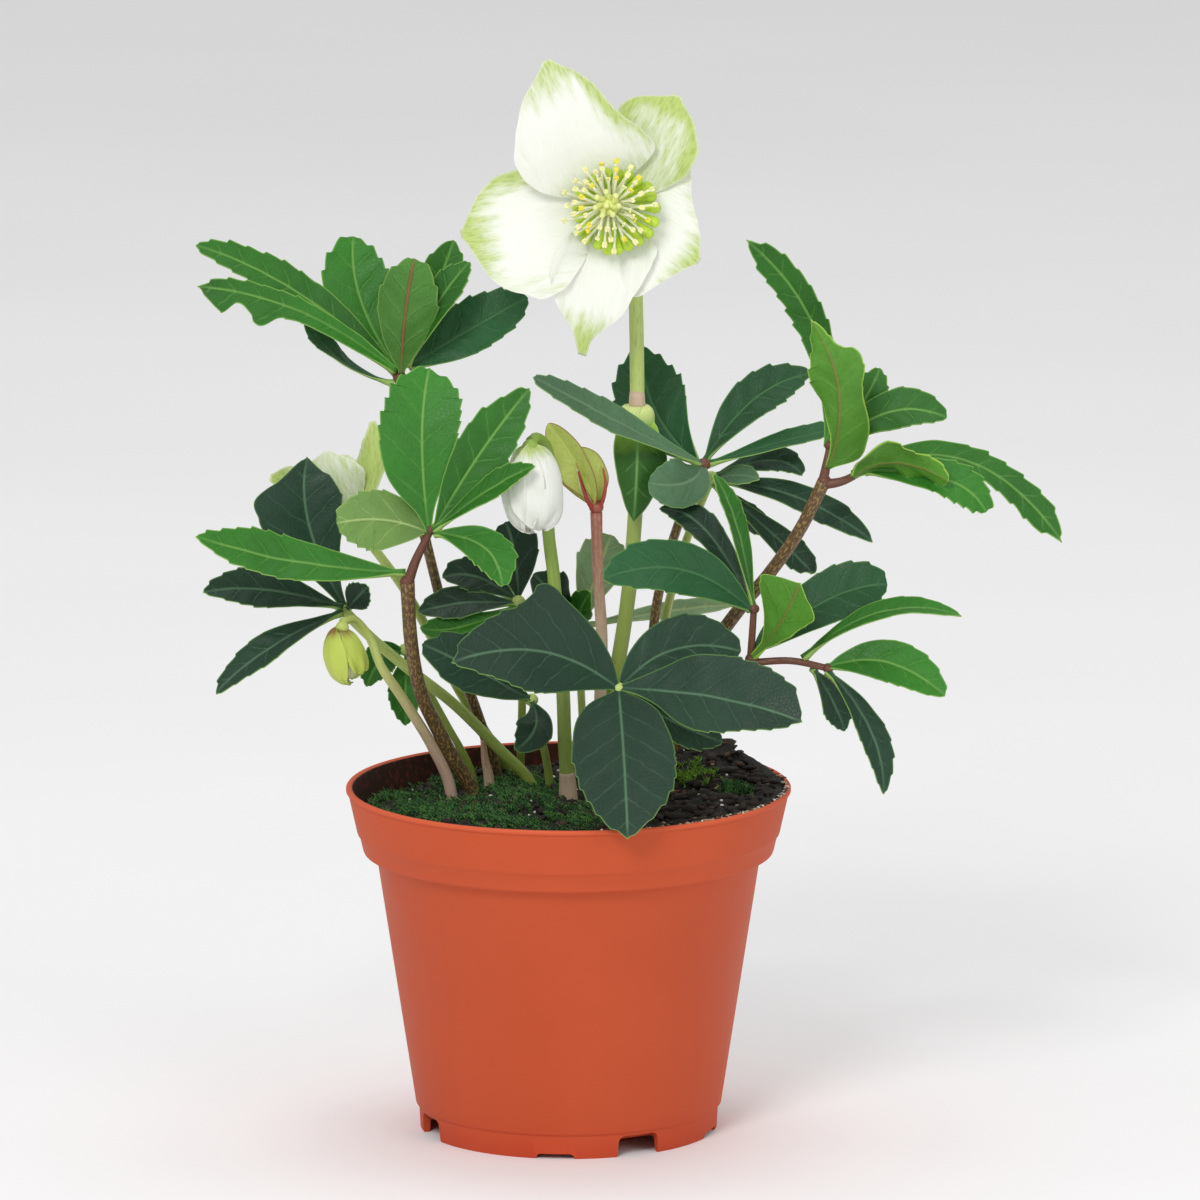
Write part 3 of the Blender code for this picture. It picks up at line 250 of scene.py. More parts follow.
LEAVES = {
    "leaf_upper_left": Leaf(
        [
            (-19.5, 3.5, 38), (-24.5, 19, 32), (-31.5, 39, 26), (-38.5, 66, 20), (-44, 90.5, 15),
            (-45.5, 110, 12),
        ],
        (1.6, 1.3),
        [
            Leaflet(
                (-45.5, 110, 13), (-72.5, 132.5, 12), (-100.5, 145.5, 7),
                11.5, (0.2, -0.7, 0.65), full=0.6, teeth=3, tooth=1.3, tone=(0.1, 0.5),
            ),
            Leaflet(
                (-46, 111, 11), (-72, 127.5, 2), (-100, 134.5, -6),
                12, (0.1, -0.8, 0.6), teeth=3, tone=(1.0, 0.1),
                reach=(
                    (1.6, 2.6, 3.2, 3.4, 3.4, 4.5, 9, 3.2, 7.5),
                    (1.4, 2.2, 2.6, 3, 3.2, 3.4, 3.4, 3.4, 2.6),
                ),
            ),
            Leaflet((-46, 108, 12), (-60.5, 114, 14), (-71, 125.5, 18), 8, (-0.5, 0.1, 0.8), look="deep"),
            Leaflet((-45.5, 111.5, 13), (-56, 130.5, 18), (-58, 148, 22), 18, (0.1, -0.95, 0.3), full=0.6),
            Leaflet(
                (-45, 110.5, 11), (-44, 127, 7), (-41.5, 142, 6),
                16, (0.1, 0.95, -0.2), full=0.6, teeth=1, look="shaded",
            ),
            Leaflet((-44, 112, 13), (-35, 130, 10), (-26.5, 141, 13), 11, (-0.5, -0.7, 0.5)),
            Leaflet((-44, 112, 14), (-36, 133, 17), (-31, 147, 21), 11, (0.1, -0.9, 0.3), teeth=1),
            Leaflet(
                (-44, 112, 14), (-27, 122.5, 18), (-11, 131.5, 20),
                15, (-0.1, -0.85, 0.5), full=0.6, tone=(0.7, 1.0), look="deep",
            ),
        ],
        colour="bright",
        stem_colour="brown",
    ),
    "leaf_front_left": Leaf(
        [
            (-26, -1.5, 13), (-30.5, 6, 9), (-35.5, 15.5, 4), (-40, 25.5, -2), (-42.5, 39, -8),
            (-43.5, 55, -14),
        ],
        (2.1, 1.8),
        [
            Leaflet(
                (-37.5, 67, -18), (-39.5, 93, -17), (-37.5, 112.5, -10),
                22, (0, -1, 0.15), teeth=3,
                reach=(
                    (2.5, 6.5, 9.5, 10.8, 11.2, 11, 10, 8.6, 6.2),
                    (2, 4, 6, 7.8, 9, 9.8, 10, 9.2, 6.4),
                ),
            ),
            Leaflet((-37, 68, -18), (-24.5, 88.5, -19), (-10.5, 107, -17), 14, (0.1, -0.95, 0.3)),
            Leaflet((-37, 68, -19), (-21.5, 79.5, -24), (-9, 86, -28), 9, (-0.2, -0.6, 0.8)),
            Leaflet((-37, 68, -19), (-23, 64, -27), (-18, 53.5, -33), 13, (0.35, -0.75, 0.5)),
            Leaflet(
                (-37.5, 68, -17), (-50, 71.5, -16), (-62.5, 70.5, -15),
                16, (0, 0.95, -0.3), full=0.5, tone=(0.1, 0.5),
            ),
            Leaflet((-43, 57, -14), (-75, 60.5, -20), (-100.5, 67, -30), 14, (0, -0.75, 0.7), teeth=3),
        ],
        branches=([(-43.5, 54, -14), (-41, 61, -16), (-37, 69, -18)],),
        colour="bright",
        stem_colour="brown",
    ),
    "leaf_dark_left": Leaf(
        [
            (-10.5, 1, 24), (-18.5, 9.5, 21), (-30.5, 21.5, 17), (-44, 32, 13), (-53.5, 40, 9),
            (-61, 47.5, 6),
        ],
        (1.6, 1.4),
        [
            Leaflet(
                (-60, 47, 6), (-70, 70, 5), (-70.5, 88.5, 8),
                20, (0.1, -0.95, 0.3), teeth=1, tooth=0.6,
                reach=(
                    (2, 4, 6.5, 9, 11.9, 13, 13.4, 7, 2.8),
                    (2, 4, 6, 8, 9.2, 9.6, 9.7, 8.2, 4.9),
                ),
            ),
            Leaflet((-60, 47.5, 5), (-81, 52.5, 0), (-98.5, 52, -8), 12, (0, -0.75, 0.65)),
            Leaflet((-60, 47, 4), (-80.5, 37, -4), (-95, 24.5, -10), 10, (-0.35, -0.6, 0.65)),
            Leaflet((-60, 47, 4), (-57, 50.5, 2), (-54, 53.5, 0), 8, (0, -0.9, 0.4)),
        ],
    ),
    "leaf_low_left": Leaf(
        [(-26.5, 4.5, 34), (-33.5, 17.5, 30), (-40, 29.5, 25), (-44, 36.5, 21)],
        (1.1, 0.9),
        [
            Leaflet((-43.5, 36, 21), (-50, 34.5, 17), (-54.5, 26.5, 14), 9, (0, -0.95, 0.3)),
            Leaflet((-43.5, 36, 21), (-44, 27, 18.5), (-44, 16, 18), 9, (0, -0.95, 0.3)),
        ],
        colour="bright",
    ),
    "leaf_front": Leaf(
        [(14.5, -1, 8), (14.5, 6.5, 2), (14, 16, -14), (13.5, 26, -30)],
        (1.5, 1.3),
        [
            Leaflet(
                (14, 25.5, -30), (-7.5, 36, -38), (-31.5, 33, -46),
                20, (0, -0.85, 0.55), teeth=3, tooth=0.7, tone=(0.6, 0.3),
                reach=(
                    (4, 7, 9.5, 11.5, 12.5, 13, 11.5, 8.5, 5),
                    (5, 8.5, 11.5, 14.5, 17.8, 12.2, 10.2, 8, 5),
                ),
            ),
            Leaflet(
                (13.5, 26, -30), (15, 6.5, -50), (16, -14.5, -66),
                20, (0, -0.8, 0.65), teeth=3, tooth=0.7, tone=(0.35, 0.5),
                reach=(
                    (6, 10, 11.6, 13, 13.5, 13.5, 12.6, 10, 6),
                    (7.5, 11, 12.7, 13.5, 13.8, 12.9, 11.5, 9.4, 6),
                ),
            ),
            Leaflet(
                (13, 26, -30), (40, 23.5, -42), (63, 17, -50),
                20, (0.05, -0.85, 0.55), teeth=3, tooth=0.6, tone=(0.7, 0.45),
                reach=(
                    (3.5, 6.5, 9.5, 11, 11.3, 11.3, 10.8, 9.5, 7),
                    (2, 4.5, 8, 10.5, 11.3, 10.3, 8.5, 6.5, 4),
                ),
            ),
            Leaflet(
                (13, 25.5, -29), (28.5, 36.5, -22), (46.5, 36, -18),
                17, (0, -0.85, 0.5), full=0.6, tooth=0.5,
            ),
            Leaflet((13, 25.5, -29), (28.5, 17, -26), (41.5, 11.5, -24), 12, (0, -0.8, 0.6)),
        ],
    ),
    "leaf_right": Leaf(
        [(21.5, 2.5, 14), (33, 15, 6), (43, 25.5, -5), (49.5, 34, -12)],
        (1.4, 1.2),
        [
            Leaflet(
                (50, 46.5, -13), (30.5, 58, -18), (9.5, 55.5, -24),
                16, (0, -0.8, 0.6), full=0.6, tooth=0.7, tone=(0.5, 1.0), look="deep",
            ),
            Leaflet((50, 46, -13), (45.5, 69, -10), (39, 84, -6), 8, (0.75, -0.6, 0.3), look="bright"),
            Leaflet((50, 46, -13), (37.5, 68, -2), (24.5, 74.5, 4), 9, (0, -0.6, 0.8)),
            Leaflet(
                (49.5, 34, -13), (57, 43.5, -20), (62.5, 54.5, -24),
                12, (-0.3, -0.9, 0.4), teeth=1, tooth=0.6, tone=(0.6, 0.75), look="young",
                reach=(
                    (1, 1.4, 2.7, 4.3, 5.8, 7.3, 8.9, 10, 9.5),
                    (1, 1.4, 2.7, 3.8, 5.1, 5.9, 7.4, 8.4, 4),
                ),
            ),
            Leaflet(
                (49.5, 36, -12), (70, 50, -8), (86, 54, -6),
                16, (0, -0.75, 0.6), full=0.5, tooth=0.7, tone=(0.3, 0.6), look="deep",
            ),
            Leaflet(
                (62.5, 33.5, -14), (84, 46.5, -18), (106, 45.5, -24),
                9, (0, -0.4, 0.9), tooth=0.6, tone=(0.4, 0.8), look="bright",
            ),
            Leaflet(
                (69, 31.5, -15), (86, 33, -18), (101.5, 24, -24),
                13, (0.1, -0.8, 0.6), full=0.65, tooth=0.6, tone=(0.3, 0.9), look="bright",
            ),
            Leaflet((69, 31.5, -15), (81, 15.5, -22), (85, -2.5, -28), 9, (0.5, -0.7, 0.3)),
            Leaflet((65.5, 32, -15), (71, 23, -10), (74.5, 14.5, -8), 8, (0.3, -0.8, 0.3)),
        ],
        branches=(
            [(49, 33, -12), (49.5, 40, -13), (50, 47.5, -13)],
            [(49, 33, -12), (60, 33.5, -14), (70, 31.5, -15)],
        ),
        stem_colour="brown",
    ),
    "leaf_right_top": Leaf(
        [
            (9.5, 2.5, 30), (22, 17, 24), (35.5, 33.5, 17), (46.5, 48, 11), (54.5, 57.5, 7), (62.5, 69, 3),
            (69, 82, 0),
        ],
        (2.0, 1.7),
        [
            Leaflet(
                (70, 90, 1), (67, 122, 8), (48, 147, 4),
                12, (-0.45, -0.75, 0.4), teeth=3, tooth=1.3, tone=(0.5, 0.15),
                reach=(
                    (1.6, 2.6, 3.4, 4, 4.4, 4.6, 4.4, 4, 3.2),
                    (1.6, 2.6, 3.4, 4, 4.4, 4.6, 4.6, 4.2, 3.4),
                ),
            ),
            Leaflet(
                (70, 85, -1), (73, 106, -8), (65.5, 125.5, -6),
                16, (0.2, 0.9, 0.1), wave=1.5, tooth=0.8, tone=(0.4, 0.8), look="young",
                reach=(
                    (7, 8, 7.5, 7, 6.4, 7.4, 7, 2.4, 1.6),
                    (1.1, 1.9, 3.8, 5.4, 7.2, 7.4, 6.4, 4.7, 3.2),
                ),
            ),
            Leaflet((70, 90, 1), (79, 102.5, 6), (84, 112.5, 10), 10, (0, -1, 0.2)),
            Leaflet(
                (70, 90, 1), (86.5, 100.5, 2), (102, 99, 0),
                12, (0, -0.75, 0.65), full=0.6, tooth=0.6, tone=(0.2, 0.3),
            ),
            Leaflet(
                (76, 83.5, -2), (107, 87.5, 1), (133, 65.5, -10),
                12, (0.1, -0.7, 0.7), teeth=3, tooth=1.6, tone=(0.7, 0.2),
                reach=(
                    (2, 3, 3.8, 4.3, 4.5, 4.4, 4.2, 4, 3.6),
                    (2, 2.8, 3.4, 3.8, 4, 4, 4, 4.2, 4.2),
                ),
            ),
            Leaflet(
                (79, 84.5, -3), (101.5, 82.5, -12), (112.5, 73.5, -16),
                11, (0.2, -0.8, 0.5), full=0.6, tooth=1.6, tone=(0.4, 0.8),
            ),
            Leaflet(
                (76, 83.5, -3), (88.5, 87, -12), (102.5, 82, -18),
                12, (0, 0.75, 0.6), wave=1.3, full=0.55, tone=(0.3, 0.8), look="young",
            ),
        ],
        branches=(
            [(68.5, 81, 0), (69.5, 86, 0), (70.5, 91.5, 1)],
            [(68.5, 81, 0), (74, 82, -1), (80, 85, -3)],
        ),
        colour="bright",
        stem_colour="brown",
    ),
    "leaf_back_middle": Leaf(
        [(19.5, 5.5, 36), (21.5, 25.5, 32), (24, 50, 26), (29.5, 70, 20), (36.5, 86.5, 12)],
        (1.5, 1.2),
        [
            Leaflet((36.5, 85.5, 12), (23.5, 101, 28), (20, 118.5, 36), 19, (0, -1, 0.2), look="deep"),
            Leaflet(
                (36.5, 86, 12), (12, 98.5, -3), (-9.5, 110, -8),
                10, (0, -0.6, 0.8), full=0.6, tooth=1.2, tone=(0.9, 0.4), look="grey",
            ),
            Leaflet(
                (36.5, 86, 12), (31, 81.5, 3), (21.5, 81.5, 0),
                13.5, (0, -0.95, 0.3), full=0.5, tooth=0.4, tone=(0.5, 0.8), look="grey",
            ),
            Leaflet(
                (36, 86, 12), (49.5, 103.5, 22), (65.5, 111, 26),
                13, (-0.2, -0.8, 0.6), tone=(0.2, 0.4), look="deep",
            ),
            Leaflet(
                (36, 86, 12), (59.5, 93, 17), (78, 97.5, 20),
                8, (0, -0.4, 0.9), tone=(0.7, 1.0), look="deep",
            ),
        ],
        stem_colour="brown",
    ),
    "leaf_back_right": Leaf(
        [(14.5, 7.5, 46), (22, 28.5, 42), (30, 60.5, 32), (38.5, 83, 20)],
        (1.3, 1.1),
        [
            Leaflet((38, 82.5, 20), (54, 87.5, 22), (63, 83.5, 18), 9, (0, -0.6, 0.8), teeth=1),
            Leaflet((38, 82.5, 20), (62.5, 77, 15), (82, 65.5, 10), 10, (0, -0.6, 0.8), teeth=1),
            Leaflet((38, 82.5, 21), (47.5, 73, 26), (55.5, 68, 30), 8, (0, -0.7, 0.7), teeth=1),
            Leaflet((38, 82.5, 21), (58.5, 64.5, 22), (65.5, 57, 18), 8, (0.3, -0.8, 0.3), teeth=1),
            Leaflet(
                (38, 82.5, 20), (45, 83.5, 14), (51.5, 82.5, 10),
                7, (0, -0.7, 0.7), teeth=1, look="grey",
            ),
        ],
    ),
    "leaf_inner_left": Leaf(
        [(-13, 4.5, 38), (-12.5, 23, 30), (-13, 36.5, 22), (-13.5, 49.5, 16)],
        (1.2, 1.0),
        [
            Leaflet((-13, 49, 16), (-28.5, 49, 12), (-40.5, 46.5, 8), 10, (0, -0.7, 0.7), teeth=1),
            Leaflet(
                (-13, 48.5, 16), (-29.5, 42.5, 8), (-40, 42.5, 4),
                8, (0, -0.8, 0.6), teeth=1, look="bright",
            ),
            Leaflet((-13, 49, 17), (-24.5, 56, 18), (-34, 56, 16), 10, (0, -0.8, 0.6), teeth=1),
            Leaflet((-13.5, 48.5, 17), (-14.5, 62, 20), (-17, 71, 22), 13, (0, -0.9, 0.3), teeth=1),
        ],
    ),
    "leaf_inner_low": Leaf(
        [(-5.5, 4, 24), (-7.5, 13.5, 17), (-10, 23, 10)],
        (1.2, 1.0),
        [
            Leaflet((-9.5, 22.5, 10), (-25, 31, -1), (-39.5, 38, -4), 16, (0, -0.8, 0.6), teeth=1),
            Leaflet((-10, 23, 10), (-9, 15.5, 0), (-14.5, 9.5, -6), 10, (0, -0.9, 0.3), teeth=1),
        ],
    ),
    "leaf_inner_middle": Leaf(
        [(4.5, 5.5, 42), (3.5, 23, 34), (2.5, 43.5, 25)],
        (1.2, 1.0),
        [
            Leaflet((2.5, 43, 25), (-3.5, 50.5, 16), (-9.5, 57, 14), 12, (0, -0.8, 0.6), teeth=1),
            Leaflet(
                (2.5, 42.5, 25), (3.5, 47.5, 20), (6, 52, 16),
                8, (0, -0.8, 0.6), teeth=1, look="bright",
            ),
            Leaflet(
                (2.5, 42.5, 25), (8, 58, 36), (11.5, 67.5, 42),
                13, (0, -0.9, 0.3), teeth=1, look="hazy",
            ),
            Leaflet(
                (2, 42.5, 25.5), (27.5, 47, 45), (45, 48.5, 44),
                6, (0, -0.6, 0.7), teeth=1, look="hazy",
            ),
        ],
    ),
}

# The open flower: its middle, the way it faces, its petals, and the parts in its middle
FLOWER_AT = (11.5, 156.0, -4.0)
FLOWER_AXIS = Vector((-0.12, -0.97, 0.22)).normalized()
PETALS = [
    Petal(
        (15.5, 159, 2.5), (23.5, 173, 1), (29.5, 186, -1),
        (6, 9, 11.5, 13, 10), (7, 10.5, 11.7, 10.5, 6.5), (0.95, 1.1, 1.1, 0.38), 1.5,
    ),
    Petal(
        (9, 155, 1.5), (-10.5, 152, -3.5), (-29, 148.5, -2.5),
        (12, 19, 21, 18.5, 13.5), (9, 12.5, 14, 13.5, 9), (0.3, 0.8, 0.7, 0.0), 1.6,
    ),
    Petal(
        (15.5, 154.5, 1.5), (25.5, 148, -2.5), (35, 141, -3),
        (15, 18.5, 13.5, 9.5, 6), (9, 14, 17, 17.5, 8), (0.3, 0.75, 0.2, 0.0), 0.6,
    ),
    Petal(
        (11, 153, 1), (8.5, 135, -5), (3.5, 116, -4),
        (12.5, 12.8, 10, 8, 2.5), (10, 13, 13.5, 10.8, 5), (0.1, 0.9, 0.2, 0.0), 3.6,
    ),
    Petal(
        (10.5, 158.5, 1), (2.5, 177, -5), (-6, 195.5, -5),
        (13, 18.5, 18.8, 15.5, 9.8), (16, 15.5, 11.8, 9.5, 6.5), (0.15, 0.65, 0.75, 0.0), 2.5,
    ),
]
NECTARIES = 21
NECTARY_REACH = 10.2
NECTARY_SHIFT = Vector((1.5, 0, -1.5))
STAMEN_RINGS = [(6.6, 8.6), (9.0, 7.2), (11.2, 6.2)]
FILAMENT_RADIUS = 0.36
ANTHER_LOBE = (0.42, 0.36, 0.95)
RIPE_SHARE = 0.16
PISTILS_AROUND = 7
FLOWER_BRACT = Leaflet(
    (18.5, 102, 9.5), (18.5, 86.5, 4), (17.5, 70.5, 5),
    15, FRONT, fold=-28, teeth=0, tone=(1.35, -1.9),
    reach=(
        (4.6, 6, 7, 7.8, 8, 7.4, 6.2, 4.6, 2.6),
        (4.8, 5.8, 6.4, 6.4, 6, 5.4, 4.6, 3.6, 2.2),
    ),
)

STALKS = {
    "flower_stalk": Stalk(
        [
            (6, -0.5, 20), (9.5, 15, 18), (13, 31, 16), (16, 50, 14), (17.5, 66, 13), (18.5, 85, 12),
            (18.5, 110, 11), (18, 133.5, 10), (16.5, 146.5, 8), (12.5, 155, 1),
        ],
        (2.1, 1.9),
        (12.5, 156, 1.5), (5.5, 3.0, 5.5),
    ),
    "bud_stalk": Stalk(
        [
            (0, -3.5, 3), (-1, 12, 1), (-1.5, 25.5, -1), (-3, 44.5, -3), (-4, 56.5, -4), (-5.5, 70, -3),
            (-5, 84, -1.5), (-6, 91, -5), (-8.5, 93.5, -10), (-10, 92.5, -14),
        ],
        (2.0, 1.5),
        (-10.3, 91, -15.5), (2.3, 2.3, 2.3),
    ),
    "bract_bud_stem": Stalk(
        [(8, 3, 10), (8.5, 23, 10), (9, 39, 9), (8, 56, 8), (7.5, 73.5, 8)],
        (1.7, 1.5),
        (7.5, 75, 8), (2.0, 2.0, 2.0),
    ),
    "young_bud_stem": Stalk(
        [
            (-32.5, 1.5, 8), (-36.5, 10, 5), (-40, 16, 2), (-45.5, 24.5, -2), (-50.5, 32, -5),
            (-53.5, 39.5, -3), (-57.5, 44.5, -5), (-61, 44, -9.5),
        ],
        (1.7, 1.0),
        (-61, 42.5, -11), (1.8, 1.8, 1.8),
    ),
    "back_flower_stalk": Stalk(
        [(-17, 5.5, 46), (-29.5, 25.5, 38), (-42.5, 50, 28), (-54, 66, 20), (-58, 73, 16)],
        (1.4, 1.2),
        (-58, 73, 16), (2.6, 2.6, 2.6),
    ),
    "shoot": Stalk([(-21.5, 2, 28), (-22.5, 7, 27), (-23, 12, 26)], (1.8, 0.7)),
}
BUD = Bud(
    (-10.5, 91.0, -16),
    (-9.0, 69.0, -18),
    7.6,
    [
        (270, 75, 0.92, 0.02, 0.94, 0.1),
        (200, 72, 0.95, 0.02, 0.96, 0.15),
        (335, 72, 0.96, 0.02, 0.95, 0.15),
        (45, 70, 0.99, 0.02, 0.97, 0.3),
        (118, 78, 1.03, 0.02, 0.93, 0.25),
        (30, 48, 1.07, 0.3, 0.98, 0.35),
    ],
    frill=0.8,
    seed=3.0,
)
YOUNG_BUD = Bud(
    (-62, 42.0, -11),
    (-58.5, 28.0, -12),
    5.4,
    [
        (250, 80, 0.94, 0.02, 0.95, 0.1),
        (150, 55, 0.97, 0.02, 0.8, 0.3),
        (330, 80, 0.99, 0.02, 0.97, 0.2),
        (35, 62, 1.05, 0.0, 1.0, 0.25),
    ],
    frill=0.4,
    seed=9.0,
)
# The core of the bud in its bracts: its foot, its top and its radius
BRACT_BUD = ((6.5, 76, 8), (0.5, 92, 6), 3.2)
BRACTS = [
    Leaflet(
        (7.5, 74.5, 8), (2.5, 86, 4), (-5.5, 97.5, 4),
        10.5, (-0.5, -0.8, 0.3), fold=32, full=0.6, teeth=0, tone=(1.0, 1.0),
    ),
    Leaflet(
        (7.5, 74.5, 8), (6, 83, 7), (1.5, 91, 7),
        9, (0.6, -0.8, 0.3), fold=28, full=0.6, teeth=0, tone=(1.0, 1.0),
    ),
    Leaflet(
        (7.5, 74.5, 8), (2, 83, 10), (-4, 90.5, 11),
        8, (-0.6, -0.6, 0.5), full=0.6, teeth=0, tone=(1.0, 1.0),
    ),
]
BRACT_RIBS = [
    [(7.6, 73.5, 7.5), (9.3, 77, 6.5), (10.0, 81, 6.5), (9.3, 85.5, 7)],
    [(7.2, 73.5, 7.5), (5.0, 77, 5.5), (3.6, 81, 4), (2.6, 84.5, 3)],
]

# Petals of the flower at the back: base, mid, tip, width, the way they face, and how green they are
BACK_PETALS = [
    ((-58, 73, 16), (-70, 79, 13), (-80.5, 83, 10), 13, (0.3, -0.8, 0.5), (0.7, 1.0, 0.7, 0.3)),
    ((-58, 73, 15), (-63, 82, 13), (-65, 90, 16), 16, (0.2, -0.9, 0.3), (0.3, 0.4, 0.3, 0.35)),
    ((-58, 73, 16), (-53, 86, 16), (-53, 98, 20), 8, (-0.2, -0.9, 0.3), (1, 1, 1, 1.0)),
    ((-58, 73, 17), (-60, 82, 24), (-60, 89, 30), 14, (0, -0.8, 0.5), (0.3, 0.6, 0.3, 0.2)),
]
BACK_CUP = 2.0

# Moss: where its patches are seen (across, up, width, height), how much of it grows there, its kind
MOSS_PATCHES = [
    ((-34, -7.5, 17, 3.6), 0.25, 0),
    ((-49, -4.5, 8, 3), 0.08, 0),
    ((-14, -6.5, 13, 5), 0.25, 0),
    ((-13, -2.5, 8, 4), 0.14, 0),
    ((3, -9, 12, 3), 0.12, 0),
    ((34.5, 1.4, 4.6, 1.6), 0.09, 1),
    ((45, -1.5, 4.2, 1.2), 0.04, 0),
    ((-30, 0, 12, 3), 0.05, 0),
]
MOSS_LOOKS = [
    [("moss_green", (46, 92, 42), 0.75, 0.45), ("moss_light", (84, 130, 56), 0.75, 0.4)],
    [("moss_fresh", (98, 142, 36), 0.7, 0.35), ("moss_fresh_light", (126, 168, 50), 0.7, 0.3)],
]
# Leaflings of one shoot of moss, and the angle from each to the next in radians
MOSS_LEAFLINGS = 5
MOSS_TURN = 2.4

# Chips on the soil, of which grit is the round kind. For every RIM_SHARE of them one lies on the rim
CHIPS = [
    Chip("bark_dark", screen(40, 29, 23), 0.8, 0.5, (0.5, 2.1), 66, 20),
    Chip("bark_brown", screen(74, 50, 36), 0.75, 0.4, (0.5, 1.2), 20, 20),
    Chip("bark_pale", screen(160, 132, 104), 0.7, 0.2, (0.4, 0.9), 5, 35),
    Chip("grit_white", screen(226, 222, 210), 0.6, 0.1, (0.35, 0.75), 9, 25),
]
GRIT = 3
CHIP_REACH = 55
RIM_SHARE = 8

# Stage, in metres and watts. Lamps: name, place, width and power
FLOOR_REACH = 6.0
SKY_STRENGTH = 0.6
LAMPS = [
    ("key", (-0.7, -2.1, 1.8), 0.9, 29),
    ("fill", (1.6, -1.6, 1.0), 1.4, 7),
    ("top", (0.1, 0.5, 2.2), 1.2, 8.5),
]
LIT_POINT = Vector((0, 0, 0.15))


class PlantSettings(bpy.types.PropertyGroup):
    """Sizes and colours of the plant and its pot that a user would change."""

    blade_thickness: FloatProperty(
        name="Leaf Thickness",
        description="Thickness of a leaf blade",
        default=0.45 * MM,
        unit="LENGTH",
    )
    tooth_depth: FloatProperty(
        name="Tooth Depth",
        description="Depth of the teeth along a leaf's edge",
        default=0.75 * MM,
        unit="LENGTH",
    )
    petal_thickness: FloatProperty(
        name="Petal Thickness",
        description="Thickness of a petal",
        default=0.35 * MM,
        unit="LENGTH",
    )
    stamens: IntProperty(
        name="Stamens",
        description="Number of stamens in the open flower",
        default=54,
        min=0,
    )
    moss_tufts: IntProperty(
        name="Moss",
        description="Number of moss shoots on the soil",
        default=9000,
        min=0,
    )
    soil_chips: IntProperty(
        name="Soil Chips",
        description="Number of loose chips on the soil",
        default=1500,
        min=0,
    )
    pot_colour: FloatVectorProperty(
        name="Pot",
        description="Colour of the pot",
        default=screen(194, 82, 47),
        subtype="COLOR",
        size=3,
    )
    bright_leaf: FloatVectorProperty(
        name="Bright Leaf",
        description="Upper side of a young leaf",
        default=screen(46, 112, 30),
        subtype="COLOR",
        size=3,
    )
    dark_leaf: FloatVectorProperty(
        name="Dark Leaf",
        description="Upper side of an old leaf",
        default=screen(26, 56, 38),
        subtype="COLOR",
        size=3,
    )
    under_leaf: FloatVectorProperty(
        name="Leaf Underside",
        description="Lower side of a leaf",
        default=screen(116, 156, 76),
        subtype="COLOR",
        size=3,
    )
    petal: FloatVectorProperty(
        name="Petal",
        description="White of the petals",
        default=screen(244, 245, 236),
        subtype="COLOR",
        size=3,
    )
    petal_green: FloatVectorProperty(
        name="Petal Green",
        description="Green of the petals' tips and edges",
        default=screen(172, 198, 70),
        subtype="COLOR",
        size=3,
    )


def spline(before, start, end, after, t):
    """The value between start and end on a smooth curve that also heeds the ones beside them."""
    return (
        start * 2
        + (end - before) * t
        + (before * 2 - start * 5 + end * 4 - after) * t**2
        + (start * 3 - before - end * 3 + after) * t**3
    ) / 2


def smooth_route(points, per_span=8):
    """Points along a smooth curve through all of these."""
    ends = [points[0] * 2 - points[1], *points, points[-1] * 2 - points[-2]]
    route = [points[0]]
    for four in zip(ends, ends[1:], ends[2:], ends[3:]):
        route += [spline(*four, step / per_span) for step in range(1, per_span + 1)]
    return route


def ramp(route, start, end, power=1):
    """A value for each point of a route, from start to end."""
    return [start + (end - start) * (index / (len(route) - 1)) ** power for index in range(len(route))]


def reach_line(values, ends, share):
    """A smooth reach between evenly spaced values, with a start and an end of its own."""
    line = [ends[0], *values, ends[1]]
    place = share * (len(line) - 1)
    index = min(int(place), len(line) - 2)
    before, after = line[max(index - 1, 0)], line[min(index + 2, len(line) - 1)]
    return spline(before, line[index], line[index + 1], after, place - index)


def on_arc(base, mid, tip, t):
    """The point this far along a curve from base over mid to tip, and the way on from it."""
    bend = mid * 2 - (base + tip) / 2
    point = base * (1 - t) ** 2 + bend * (2 * t * (1 - t)) + tip * t**2
    return point, ((bend - base) * (1 - t) + (tip - bend) * t).normalized()


def frame_between(top, bottom):
    """A frame whose Z axis runs from bottom to top."""
    up = (top - bottom).normalized()
    right = up.cross(Vector((0, 1, 0))).normalized()
    return Matrix((right, up.cross(right), up)).transposed()


def skin(rows, sides):
    """The faces of a closed body: its first point, rows of points around it, and its last point."""
    faces = []
    last = 1 + (rows - 1) * sides
    for side in range(sides):
        after = (side + 1) % sides
        faces.append((0, 1 + side, 1 + after))
        for start in range(1, last, sides):
            faces.append((start + side, start + sides + side, start + sides + after, start + after))
        faces.append((last + side, last + sides, last + after))
    return faces


